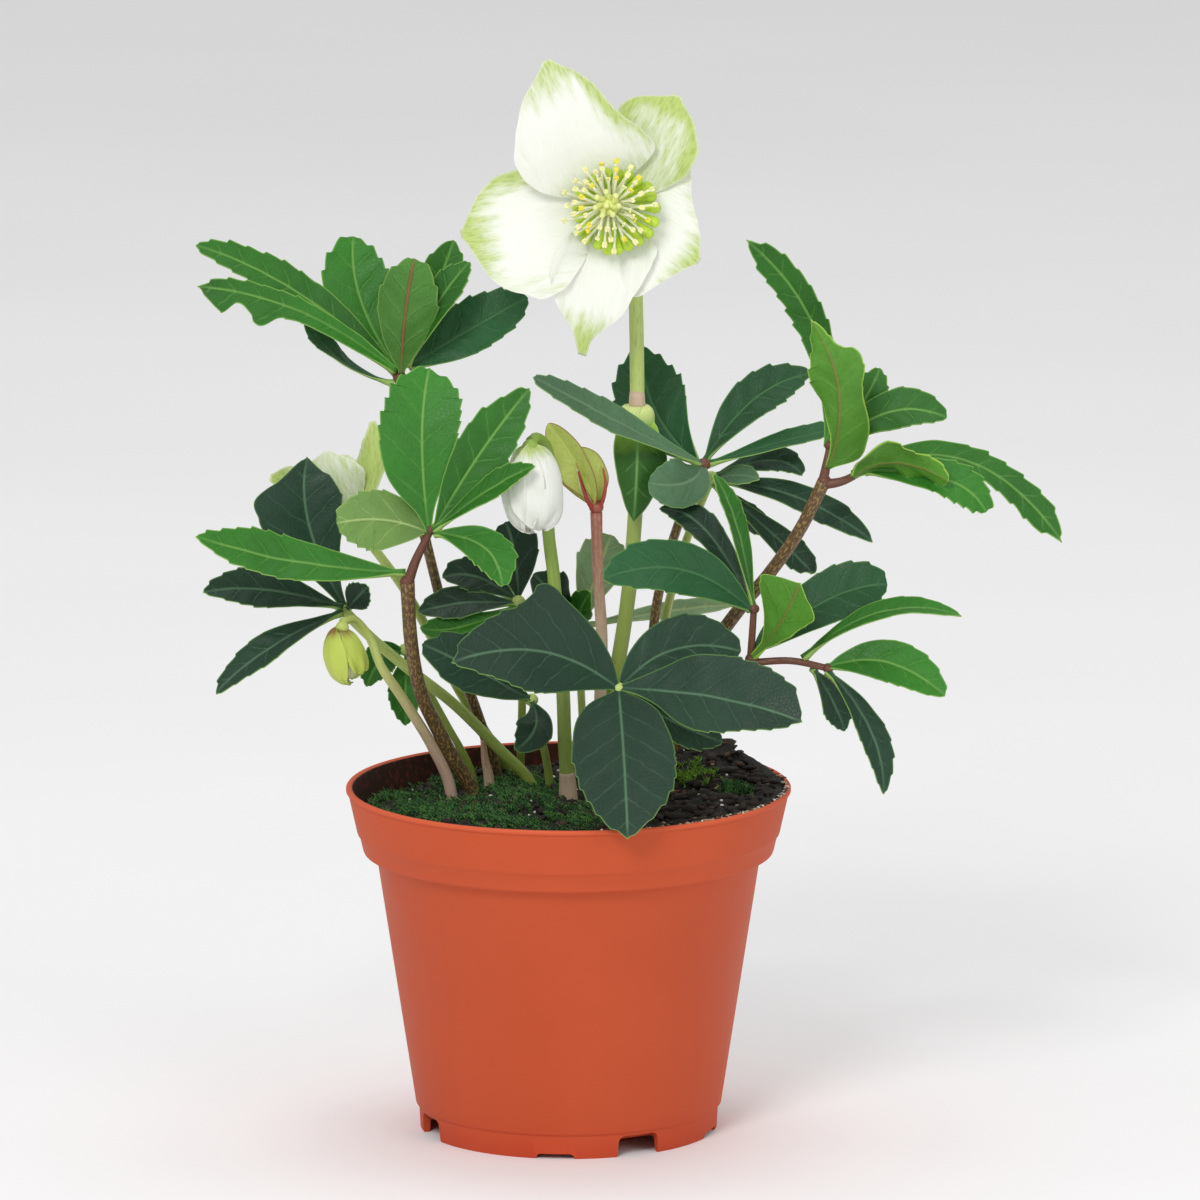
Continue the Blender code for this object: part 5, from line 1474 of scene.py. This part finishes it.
# The upper and the lower side of each kind of leaf
LEAF_LOOKS = {
    "bright": ("bright_leaf_top", "leaf_underside"),
    "dark": ("dark_leaf_top", "leaf_underside"),
    "shaded": ("bright_leaf_top", "shaded_underside"),
    "young": ("young_leaf", "young_leaf"),
    "hazy": ("hazy_leaf", "hazy_leaf"),
    "grey": ("grey_leaf", "leaf_underside"),
    "deep": ("deep_leaf_top", "leaf_underside"),
}


def leaf_side(name):
    """The material for this side of a leaf."""
    look = list(LEAF_SIDES[name])
    for number, part in enumerate(look):
        if isinstance(part, str):
            look[number] = tuple(getattr(bpy.context.scene.hellebore, part))
        elif isinstance(part, tuple):
            look[number] = screen(*part)
    return leaf_material(name, *look)


# Kinds of stalk: name, colours from the soil to its top, and its specks' colour and share
STALK_LOOKS = {
    "green": ("green_stalk", screen(138, 158, 66), screen(184, 202, 116)),
    "brown": ("brown_stalk", screen(84, 66, 42), screen(96, 70, 44), screen(158, 132, 74), 0.8),
    "maroon": ("maroon_stalk", screen(98, 56, 44), screen(104, 62, 46), screen(130, 92, 62), 0.3),
    "pink": ("pink_stalk", screen(196, 172, 146), screen(166, 92, 76), screen(210, 186, 164), 0.2),
    "young": ("young_stalk", screen(200, 168, 148), screen(184, 198, 104)),
    "bud": ("nodding_stalk", screen(150, 172, 84), screen(142, 172, 70)),
}


def stalk_looks():
    return {kind: stalk_material(*look) for kind, look in STALK_LOOKS.items()}


def wall_line():
    """(radius, height) of the pot's outer side, from the lip down to the foot, with soft corners."""
    lip_low = POT_HEIGHT - LIP_HEIGHT
    band_top = RIM_RADIUS - 0.6
    band_foot = band_top - BAND_TAPER
    step_top = band_foot - 0.6
    step_foot = step_top - STEP_TAPER
    return [
        (RIM_RADIUS - 1.25, POT_HEIGHT - 0.12),
        (RIM_RADIUS - 0.75, POT_HEIGHT),
        (RIM_RADIUS - 0.3, POT_HEIGHT - 0.1),
        (RIM_RADIUS, POT_HEIGHT - 0.5),
        (RIM_RADIUS, lip_low + 0.5),
        (RIM_RADIUS - 0.25, lip_low + 0.2),
        (band_top, lip_low),
        (band_top - 0.05, lip_low - 0.4),
        (band_foot + 0.2, BAND_LOW + 1.0),
        (band_foot, BAND_LOW + 0.25),
        (band_foot - 0.3, BAND_LOW - 0.15),
        (step_top, BAND_LOW - 0.45),
        (step_foot, STEP_LOW + 0.9),
        (step_foot - 0.25, STEP_LOW + 0.3),
        (step_foot - 0.8, STEP_LOW - 0.05),
        (BODY_TOP_RADIUS + 0.7, STEP_LOW - 0.35),
        (BODY_TOP_RADIUS, STEP_LOW - 1.0),
        (BODY_FOOT_RADIUS, FOOT_HEIGHT + 0.6),
        (BODY_FOOT_RADIUS - 0.3, FOOT_HEIGHT + 0.15),
        (FOOT_RADIUS + 0.5, FOOT_HEIGHT - 0.1),
        (FOOT_RADIUS + 0.3, FOOT_HEIGHT - 0.6),
        (FOOT_RADIUS, 0.35),
        (FOOT_RADIUS - 0.3, 0.0),
    ]


def inner_radius(height):
    """The radius of the pot's inside at a height."""
    if height <= STEP_LOW:
        share = (height - FLOOR_TOP) / (STEP_LOW - FLOOR_TOP)
        return (BODY_FOOT_RADIUS - WALL - 0.3) * (1 - share) + (BODY_TOP_RADIUS - WALL) * share
    share = (height - STEP_LOW) / (POT_HEIGHT - STEP_LOW)
    return (BODY_TOP_RADIUS - WALL + LEDGE) * (1 - share) + (RIM_RADIUS - WALL - 0.5) * share


def inside_line():
    """(radius, height) of the pot's underside and inside, from the foot ring around to the rim."""
    return [
        (FOOT_RADIUS - 1.5, 0.0),
        (FOOT_RADIUS - 1.8, 0.4),
        (FOOT_RADIUS - 2.0, FLOOR_HEIGHT),
        (PAD_RADIUS + 2.0, FLOOR_HEIGHT),
        (PAD_RADIUS, 0.0),
        (0.0, 0.0),
        (0.0, WALL),
        (PAD_RADIUS - 1.2, WALL),
        (PAD_RADIUS + 0.8, FLOOR_TOP),
        (inner_radius(FLOOR_TOP), FLOOR_TOP),
        (inner_radius(STEP_LOW), STEP_LOW + 0.6),
        (inner_radius(STEP_LOW + 1.0), STEP_LOW + 1.4),
        (inner_radius(POT_HEIGHT), POT_HEIGHT - 0.5),
    ]


def mesh_of(shape, name):
    """Turns a bmesh into a mesh, and frees it."""
    mesh = bpy.data.meshes.new(name)
    shape.to_mesh(mesh)
    shape.free()
    return mesh


def notch_cutter(angle, width, height):
    """A block with rounded upper corners through the foot ring."""
    shape = bmesh.new()
    bmesh.ops.create_cube(shape, size=1)
    bmesh.ops.scale(shape, vec=(width, 14, height + 2), verts=shape.verts)
    bmesh.ops.translate(shape, vec=(0, -FOOT_RADIUS - 2.5, height / 2 - 1), verts=shape.verts)
    for vert in shape.verts:
        if vert.co.z < 0:
            vert.co.x *= 1.12
    corners = []
    for edge in shape.edges:
        first, second = edge.verts
        if min(first.co.z, second.co.z) > 0 and abs(first.co.x - second.co.x) < 0.01:
            corners.append(edge)
    offset = min(1.6, height * 0.8)
    bmesh.ops.bevel(shape, geom=corners, offset=offset, segments=5, affect="EDGES", profile=0.5)
    turn = Matrix.Rotation(math.radians(angle), 3, "Z")
    bmesh.ops.rotate(shape, cent=(0, 0, 0), matrix=turn, verts=shape.verts)
    bmesh.ops.scale(shape, vec=(MM, MM, MM), verts=shape.verts)
    return bpy.data.objects.new("notch", mesh_of(shape, "notch"))


class HELLEBORE_OT_pot(bpy.types.Operator):
    """Turns the pot with its lip, band, step and notched foot ring"""

    bl_idname = "hellebore.pot"
    bl_label = "Pot"

    def execute(self, context):
        profile = wall_line() + inside_line()
        shape = bmesh.new()
        verts = [shape.verts.new((radius * MM, 0, height * MM)) for radius, height in profile + profile[:1]]
        edges = [shape.edges.new(pair) for pair in zip(verts, verts[1:])]
        bmesh.ops.spin(
            shape,
            geom=verts + edges,
            cent=(0, 0, 0),
            axis=(0, 0, 1),
            angle=2 * math.pi,
            steps=POT_STEPS,
            use_merge=True,
        )
        bmesh.ops.remove_doubles(shape, verts=shape.verts, dist=1e-6)
        bmesh.ops.recalc_face_normals(shape, faces=shape.faces)
        pot = bpy.data.objects.new("pot_shell", mesh_of(shape, "pot_shell"))
        context.scene.collection.objects.link(pot)
        pool = bpy.data.collections.new("pot_notches")
        for angles, width, height in NOTCHES:
            for angle in angles:
                pool.objects.link(notch_cutter(angle, width, height))
        context.scene.collection.children.link(pool)
        cut = pot.modifiers.new("Notches", "BOOLEAN")
        cut.operation, cut.solver = "DIFFERENCE", "MANIFOLD"
        cut.operand_type, cut.collection = "COLLECTION", pool
        graph = context.evaluated_depsgraph_get()
        pot.data = bpy.data.meshes.new_from_object(pot.evaluated_get(graph))
        pot.modifiers.clear()
        for cutter in list(pool.objects):
            bpy.data.objects.remove(cutter, do_unlink=True)
        bpy.data.collections.remove(pool)
        pot.data.materials.clear()
        colour = tuple(context.scene.hellebore.pot_colour)
        pot.data.materials.append(pot_material("moulded_plastic", colour))
        pot.data.shade_smooth()
        pot.data.set_sharp_from_angle(angle=math.radians(40))
        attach(pot, "root")
        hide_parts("pot")
        return {"FINISHED"}


def soil_height(x, y):
    """The uneven top of the soil: a mound at the front left, a heap at the back right."""
    height = SOIL_LEVEL
    for middle_x, middle_y, spread, rise in SOIL_MOUNDS:
        height += rise * math.exp(-((x - middle_x) ** 2 + (y - middle_y) ** 2) / spread)
    height += 5.4 * min(max((x - 14) / 26, 0), 1) * min(max((y + 56) / 26, 0), 1)
    height += 1.2 * noise(Vector((x, y, SEED)) / 9)
    to_wall = RIM_RADIUS - WALL - math.hypot(x, y)
    return min(height, POT_HEIGHT + 0.2 + 0.9 * max(to_wall, 0))


def crumbs(x, y):
    """The fine relief of loose soil."""
    spot = Vector((x, y, SEED))
    return 1.1 * noise(spot / 4.5) + 0.9 * noise(spot / 2.1) + 0.5 * noise(spot / 1.0)


def near_wall(x, y, room):
    """Whether this place on the soil is within this room of the pot's inside."""
    return math.hypot(x, y) > inner_radius(soil_height(x, y)) - room


def on_soil(across, up):
    """The place on the soil that is seen at this spot of the picture plane."""
    height = SOIL_LEVEL
    for _ in range(6):
        depth = (up - (height - POT_HEIGHT) * math.cos(VIEW_TILT)) / math.sin(VIEW_TILT)
        point = seen(across, up, depth)
        height = soil_height(point.x, point.y)
    return point.x, point.y


def add_soil():
    """The soil: its crumbly top out to the pot's inside, and its body down to the pot's floor."""
    soil = Piece("potting_soil")
    angles = [2 * math.pi * side / SOIL_SIDES for side in range(SOIL_SIDES)]
    rays = [Vector((math.cos(angle), math.sin(angle))) for angle in angles]
    points = [(0, 0, soil_height(0, 0) + crumbs(0, 0))]
    for ring in range(1, SOIL_RINGS + 1):
        share = ring / SOIL_RINGS
        for ray in rays:
            reach = inner_radius(SOIL_LEVEL)
            for _ in range(3):
                reach = inner_radius(soil_height(*(ray * reach))) - 0.15
            x, y = ray * reach * share
            points.append((x, y, soil_height(x, y) + crumbs(x, y) * min(1, (1 - share) * 22)))
    floor_top = FLOOR_TOP + SOIL_GAP
    lower = [
        (inner_radius(STEP_LOW + 1.0) - 0.2, STEP_LOW + 1.4),
        (inner_radius(STEP_LOW) - 0.2, STEP_LOW + 0.6),
        (inner_radius(floor_top) - 0.4, floor_top),
        (PAD_RADIUS + 0.6, floor_top),
        (PAD_RADIUS - 1.6, WALL + SOIL_GAP),
    ]
    for radius, height in lower:
        points += [(math.cos(angle) * radius, math.sin(angle) * radius, height) for angle in angles]
    points.append((0, 0, WALL + SOIL_GAP))
    crumbly = plain_material(
        "crumbly_soil", screen(27, 20, 16), 0.7, grain=0.4, spread=0.65, scale=420.0, depth=1.0, fine=1800.0
    )
    soil.add(points, skin(SOIL_RINGS + len(lower), SOIL_SIDES), crumbly)
    soil.finish("potting_soil", "soil")


def strew_chips(count):
    """Bark and grit on the soil, and crumbs of them on the rim."""
    draw = random.Random(SEED)
    chips = Piece("soil_chips")
    looks = [plain_material(chip.name, chip.colour, chip.rough, spread=chip.spread) for chip in CHIPS]
    kinds = range(len(CHIPS))
    for _ in range(count):
        angle, reach = draw.uniform(0, 2 * math.pi), math.sqrt(draw.uniform(0, 1)) * CHIP_REACH
        x, y = math.cos(angle) * reach, math.sin(angle) * reach
        kind = draw.choices(kinds, [chip.on_soil for chip in CHIPS])[0]
        if near_wall(x, y, 1.6):
            continue
        size = [draw.uniform(*chip.sizes) for chip in CHIPS][kind]
        long = 1.0 if kind == GRIT else draw.uniform(1.0, 2.6)
        turn = Matrix.Rotation(draw.uniform(0, 6.28), 3, "Z")
        turn = turn @ Matrix.Rotation(draw.uniform(-0.6, 0.6), 3, "X")
        place = (x, y, soil_height(x, y) + crumbs(x, y) + size * 0.15)
        radii = (size * long, size * draw.uniform(0.5, 0.9), size * draw.uniform(0.35, 0.7))
        chips.add_ball(place, radii, looks[kind], 4, draw.choice((3, 4, 5)), turn)
    for _ in range(count // RIM_SHARE):
        angle = math.radians(draw.triangular(-88, 28, -40))
        reach = RIM_RADIUS - draw.uniform(0.8, 2.0)
        size = draw.uniform(0.25, 0.55)
        place = (math.cos(angle) * reach, math.sin(angle) * reach, POT_HEIGHT - size * 0.2)
        kind = draw.choices(kinds, [chip.on_rim for chip in CHIPS])[0]
        turn = Matrix.Rotation(draw.uniform(0, 6.28), 3, "Z")
        chips.add_ball(place, (size * draw.uniform(1, 2), size, size * 0.7), looks[kind], 4, 5, turn)
    chips.finish("potting_soil")


class HELLEBORE_OT_soil(bpy.types.Operator):
    """Fills the pot with crumbly soil and strews it with chips and pale grit"""

    bl_idname = "hellebore.soil"
    bl_label = "Soil"

    def execute(self, context):
        add_soil()
        strew_chips(context.scene.hellebore.soil_chips)
        return {"FINISHED"}


class HELLEBORE_OT_moss(bpy.types.Operator):
    """Grows moss in patches on the soil"""

    bl_idname = "hellebore.moss"
    bl_label = "Moss"

    def execute(self, context):
        draw = random.Random(SEED + 1)
        moss = Piece("moss_tufts")
        looks = [
            [
                plain_material(name, screen(*colour), rough, spread=spread, scale=500.0)
                for name, colour, rough, spread in kind
            ]
            for kind in MOSS_LOOKS
        ]
        weights = [weight for _, weight, _ in MOSS_PATCHES]
        for _ in range(context.scene.hellebore.moss_tufts):
            (across, up, wide, tall), _, kind = draw.choices(MOSS_PATCHES, weights)[0]
            x, y = on_soil(draw.gauss(across, wide / 2), draw.gauss(up, tall / 2))
            if near_wall(x, y, 1.2) or noise(Vector((x, y, 4)) / 5) < -0.1:
                continue
            root = Vector((x, y, soil_height(x, y) + crumbs(x, y) - 0.3))
            height = draw.uniform(1.3, 2.7) * (1.15 if kind else 1)
            material = looks[kind][draw.random() < 0.35]
            lean = Vector((draw.uniform(-0.6, 0.6), draw.uniform(-0.6, 0.6), 1)).normalized()
            for number in range(MOSS_LEAFLINGS):
                angle = number * MOSS_TURN + draw.uniform(-0.4, 0.4)
                out = Vector((math.cos(angle), math.sin(angle), draw.uniform(0.5, 1.6))).normalized()
                start = root + lean * height * number / MOSS_LEAFLINGS
                side = out.cross(Vector((0, 0, 1))).normalized() * 0.2
                lift = side.cross(out).normalized() * 0.2
                foot = start - side * 0.5
                corners = [start + side, foot + lift, foot - lift, start + out * height * 0.62]
                moss.add(corners, [(0, 1, 3), (1, 2, 3), (2, 0, 3), (0, 2, 1)], material)
        moss.finish("leaf_bright")
        return {"FINISHED"}


class HELLEBORE_OT_leaves(bpy.types.Operator):
    """Grows the leaves, each with its stalk, side branches and toothed leaflets"""

    bl_idname = "hellebore.leaves"
    bl_label = "Leaves"

    def execute(self, context):
        looks = {kind: [leaf_side(name) for name in sides] for kind, sides in LEAF_LOOKS.items()}
        stalks = stalk_looks()
        for number, (name, leaf) in enumerate(LEAVES.items()):
            draw = random.Random(SEED + number)
            piece = Piece(name + "_fine")
            stalk = stalks[leaf.stem_colour]
            knot = stalks["maroon"] if leaf.stem_colour == "brown" else stalk
            hub = add_stalk(piece, leaf, stalk)[-1]
            piece.add_ball(hub, (1.9, 1.9, 1.7), knot, tint=0.9)
            for branch in leaf.branches:
                route = smooth_route([seen(*place) for place in branch])
                radii = ramp(route, leaf.radii[1] * 0.85, 0.9)
                piece.add_tube(route, radii, knot, tints=[0.9] * len(route))
                piece.add_ball(route[-1], (1.5, 1.5, 1.4), knot, tint=0.9)
            for leaflet in leaf.leaflets:
                upper, under = looks[leaflet.look or leaf.colour]
                add_blade(piece, leaflet, upper, under, draw, context.scene.hellebore)
            piece.finish("leaf_bright" if leaf.colour == "bright" else "leaf_dark", name)
        return {"FINISHED"}


def add_centre(draw, stamens):
    """The middle of the open flower: its nectaries, stamens and pistils."""
    centre = Piece("flower_centre_fine")
    filament = plain_material("filament_cream", screen(236, 238, 206), 0.5, spread=0.08)
    anther = plain_material("anther_cream", screen(244, 238, 176), 0.7, spread=0.15, scale=900.0)
    ripe = plain_material("anther_ripe", screen(238, 226, 84), 0.7, spread=0.15, scale=900.0)
    nectar = plain_material("nectary_green", screen(184, 214, 60), 0.35, spread=0.14)
    pistil = plain_material("pistil_green", screen(226, 232, 150), 0.45, spread=0.08)
    middle = seen(*FLOWER_AT)
    axes = frame_between(middle + FLOWER_AXIS, middle)

    def at(angle, out, forward):
        return middle + axes @ Vector((math.cos(angle) * out, math.sin(angle) * out, forward))

    centre.add_ball(middle, (6.2, 6.2, 1.7), nectar, 10, 20, axes)
    for number in range(NECTARIES):
        angle = 2 * math.pi * (number + draw.uniform(-0.2, 0.2)) / NECTARIES
        reach = NECTARY_REACH * draw.uniform(0.95, 1.06)
        bend, mouth = at(angle, reach * 0.68, 1.2), at(angle, reach, 2.4)
        route = smooth_route([at(angle, 3.6, 0.3), bend + NECTARY_SHIFT / 2, mouth + NECTARY_SHIFT], 5)
        centre.add_tube(route, ramp(route, 0.6, 1.55, 1.4), nectar, 12)
        centre.add_ball(route[-1], (1.55, 1.55, 1.1), nectar, 6, 12, axes)
    for number in range(stamens):
        angle = 2 * math.pi * (number + draw.uniform(-0.5, 0.5)) / stamens
        out, rise = STAMEN_RINGS[number % len(STAMEN_RINGS)]
        out *= draw.uniform(0.9, 1.08)
        rise += draw.uniform(-1, 1)
        sway = draw.uniform(-0.14, 0.14)
        bend, top = at(angle + sway, out * 0.5, rise * 0.55), at(angle - sway * 0.4, out, rise)
        route = smooth_route([at(angle, 2.3, 0.8), bend, top], 6)
        centre.add_tube(route, [FILAMENT_RADIUS] * len(route), filament, 8)
        head = frame_between(route[-1], route[-2]) @ Matrix.Rotation(draw.uniform(-0.7, 0.7), 3, "X")
        kind = ripe if draw.random() < RIPE_SHARE else anther
        for lobe in (-1, 1):
            spot = route[-1] + head @ Vector((0.32 * lobe, 0, 0.5))
            centre.add_ball(spot, ANTHER_LOBE, kind, 6, 8, head)
    centre.add_ball(at(0, 0, 4.2), (3.0, 3.0, 3.2), pistil, 10, 16, axes)
    for number in range(PISTILS_AROUND + 1):
        angle = 2 * math.pi * number / PISTILS_AROUND + 0.4
        out = 1.9 if number < PISTILS_AROUND else 0.2
        stops = [at(angle, out * 0.6, 0.4), at(angle, out, 3.6), at(angle, out, 6.8)]
        route = smooth_route([*stops, at(angle + 0.3, out * 1.7, 9.4)], 5)
        centre.add_tube(route, ramp(route, 1.25, 0.5, 1.6), pistil, 10)
        centre.add_ball(route[-1], (0.8, 0.8, 0.8), pistil, 6, 8)
    centre.finish("flower_centre", "flower_centre")


class HELLEBORE_OT_flower(bpy.types.Operator):
    """Opens the flower: its petals, nectaries, stamens and pistils on their stalk"""

    bl_idname = "hellebore.flower"
    bl_label = "Flower"

    def execute(self, context):
        plant = context.scene.hellebore
        draw = random.Random(SEED + 40)
        stalks = stalk_looks()
        petals = Piece("flower_petals_fine")
        for petal in PETALS:
            add_petal(petals, petal, white_petal(), draw, plant)
        add_seat(petals, "flower_stalk", stalks["green"], 14, 20)
        petals.finish("petal_white", "flower_petals")
        add_centre(draw, plant.stamens)

        stalk = stalk_piece("flower_stalk", stalks["green"])
        flush = [seen(18.5, up, 11.1) for up in (101, 103, 104.5, 106.5)]
        stalk.add_tube(flush, [2.2, 2.2, 2.15, 1.9], stalks["pink"], 16, [0.0] * len(flush))
        sheath = stalk_material("sheath_pale", screen(120, 172, 50), screen(206, 220, 140))
        collar = smooth_route([seen(18.3, up, 11.3) for up in (89.5, 92.5, 96, 99, 101.2, 102.4)], 5)
        swollen = [2.1 + 2.9 * math.sin(math.pi * share) for share in ramp(collar, 0.05, 0.84)]
        stalk.add_tube(collar, swollen, sheath, 24, ramp(collar, -0.2, 1.0))
        green = leaf_side("flower_bract")
        add_blade(stalk, FLOWER_BRACT, green, green, draw, plant, veins=0.1)
        stalk.finish("stalk_green", "flower_stalk")
        return {"FINISHED"}


def add_bract_bud(draw, settings, core, stalks):
    """The bud that is still folded in its red-ribbed bracts."""
    folded = Piece("bract_bud_fine")
    foot, top, radius = BRACT_BUD
    foot, top = seen(*foot), seen(*top)
    radii = (radius * 0.9, radius * 0.9, (foot - top).length / 2)
    folded.add_ball((foot + top) / 2, radii, core, 14, 16, frame_between(top, foot))
    yellow = leaf_side("bract_skin")
    for bract in BRACTS:
        add_blade(folded, bract, yellow, yellow, draw, settings, veins=0.12)
    add_seat(folded, "bract_bud_stem", stalks["pink"], tint=0.9)
    red = stalk_material("red_rib", screen(164, 62, 52), screen(172, 84, 60))
    for rib in BRACT_RIBS:
        route = smooth_route([seen(*place) for place in rib], 6)
        folded.add_tube(route, ramp(route, 0.75, 0.25), red)
    folded.finish("bract_green", "bract_bud")


class HELLEBORE_OT_buds(bpy.types.Operator):
    """Adds the nodding white bud, the bud in its bracts, the young bud and the pink shoot"""

    bl_idname = "hellebore.buds"
    bl_label = "Buds"

    def execute(self, context):
        plant = context.scene.hellebore
        stalks = stalk_looks()
        lime = petal_material("young_sepal", screen(188, 204, 84), screen(132, 78, 46))
        cream = plain_material("bud_cream", screen(214, 222, 170), 0.45, spread=0.1, scale=160.0)

        bud = Piece("bud_petals_fine")
        add_bud(bud, BUD, white_petal(), white_petal(), plant)
        add_seat(bud, "bud_stalk", stalks["bud"])
        bud.finish("petal_white", "bud_petals")
        stem = stalk_piece("bud_stalk", stalks["bud"])
        foot, after = (seen(*place) for place in STALKS["bud_stalk"].stem[:2])
        rise = after - foot
        collar = smooth_route([foot - Vector((0, 0, 3)), foot + rise * 0.2, foot + rise * 0.45], 6)
        stem.add_tube(collar, ramp(collar, 2.75, 2.0), stalks["pink"], 16, [0.2] * len(collar))
        stem.finish("stalk_green", "bud_stalk")

        young = Piece("young_bud_fine")
        add_bud(young, YOUNG_BUD, lime, cream, plant)
        add_seat(young, "young_bud_stem", stalks["young"], tint=0.9)
        young.finish("petal_green", "young_bud")
        stalk_piece("young_bud_stem", stalks["young"], (0.0, 1.1)).finish("stalk_pink", "young_bud_stem")

        add_bract_bud(random.Random(SEED + 60), plant, cream, stalks)
        stalk_piece("bract_bud_stem", stalks["pink"], (-0.5, 0.75)).finish("stalk_pink", "bract_bud_stem")
        stalk_piece("shoot", stalks["pink"], (0.2, 0.5)).finish("stalk_pink", "shoot")
        return {"FINISHED"}


class HELLEBORE_OT_back_flower(bpy.types.Operator):
    """Adds the half-hidden flower at the back left on its stalk"""

    bl_idname = "hellebore.back_flower"
    bl_label = "Back Flower"

    def execute(self, context):
        plant = context.scene.hellebore
        draw = random.Random(SEED + 80)
        green = stalk_looks()["green"]
        flower = Piece("back_flower_fine")
        for base, mid, tip, width, face, tints in BACK_PETALS:
            reach = [width / 2 * math.sin(math.pi * (step / 6) ** 0.9) ** 0.6 for step in range(1, 6)]
            petal = Petal(base, mid, tip, reach, reach, tints, BACK_CUP, face)
            add_petal(flower, petal, white_petal(), draw, plant)
        add_seat(flower, "back_flower_stalk", green)
        flower.finish("petal_white", "back_flower_petals")
        stalk_piece("back_flower_stalk", green).finish("stalk_green", "back_flower_stalk")
        return {"FINISHED"}


class HELLEBORE_OT_stage(bpy.types.Operator):
    """Sets the pale floor, the soft lights and the camera"""

    bl_idname = "hellebore.stage"
    bl_label = "Stage"

    def execute(self, context):
        mesh = bpy.data.meshes.new("floor")
        corners = [(-1, -1), (1, -1), (1, 1), (-1, 1)]
        mesh.from_pydata([(x * FLOOR_REACH, y * FLOOR_REACH, 0) for x, y in corners], [], [(0, 1, 2, 3)])
        floor = bpy.data.objects.new("floor", mesh)
        context.scene.collection.objects.link(floor)
        pale = (0.94, 0.94, 0.945)
        mesh.materials.append(
            plain_material("floor_pale", pale, 0.85, grain=0.02, spread=0.01, scale=3.0, depth=0.01)
        )

        world = bpy.data.worlds.new("studio")
        world.use_nodes = True
        sky = world.node_tree.nodes["Background"]
        sky.inputs["Color"].default_value = (1, 1, 1, 1)
        sky.inputs["Strength"].default_value = SKY_STRENGTH
        context.scene.world = world
        for name, place, width, power in LAMPS:
            light = bpy.data.lights.new(name, "AREA")
            light.shape, light.size, light.energy = "DISK", width, power
            lamp = bpy.data.objects.new(name, light)
            lamp.location = place
            lamp.rotation_euler = (LIT_POINT - lamp.location).to_track_quat("-Z", "Y").to_euler()
            context.scene.collection.objects.link(lamp)

        lens = bpy.data.cameras.new("camera")
        lens.sensor_width = SENSOR
        lens.lens = SENSOR * VIEW_DISTANCE / VIEW_WIDTH
        lens.clip_end = 100
        camera = bpy.data.objects.new("camera", lens)
        camera.location = EYE * MM
        camera.rotation_euler = (math.pi / 2 - VIEW_TILT, 0, 0)
        context.scene.collection.objects.link(camera)
        context.scene.camera = camera
        context.scene.view_settings.view_transform = "Standard"
        return {"FINISHED"}


class HELLEBORE_PT_panel(bpy.types.Panel):
    """Lists the plant's pieces and settings"""

    bl_label = "Potted Hellebore"
    bl_idname = "HELLEBORE_PT_panel"
    bl_space_type = "VIEW_3D"
    bl_region_type = "UI"
    bl_category = "Hellebore"

    def draw(self, context):
        for operator in OPERATORS:
            self.layout.operator(operator.bl_idname)
        for name in PlantSettings.__annotations__:
            self.layout.prop(context.scene.hellebore, name)


OPERATORS = [
    HELLEBORE_OT_pot,
    HELLEBORE_OT_soil,
    HELLEBORE_OT_moss,
    HELLEBORE_OT_leaves,
    HELLEBORE_OT_flower,
    HELLEBORE_OT_buds,
    HELLEBORE_OT_back_flower,
    HELLEBORE_OT_stage,
]


def register():
    for kind in (PlantSettings, *OPERATORS, HELLEBORE_PT_panel):
        bpy.utils.register_class(kind)
    bpy.types.Scene.hellebore = PointerProperty(type=PlantSettings)


def unregister():
    del bpy.types.Scene.hellebore
    for kind in (HELLEBORE_PT_panel, *reversed(OPERATORS), PlantSettings):
        bpy.utils.unregister_class(kind)


def main():
    register()
    for operator in OPERATORS:
        getattr(bpy.ops.hellebore, operator.bl_idname.split(".")[1])()


if __name__ == "__main__":
    main()
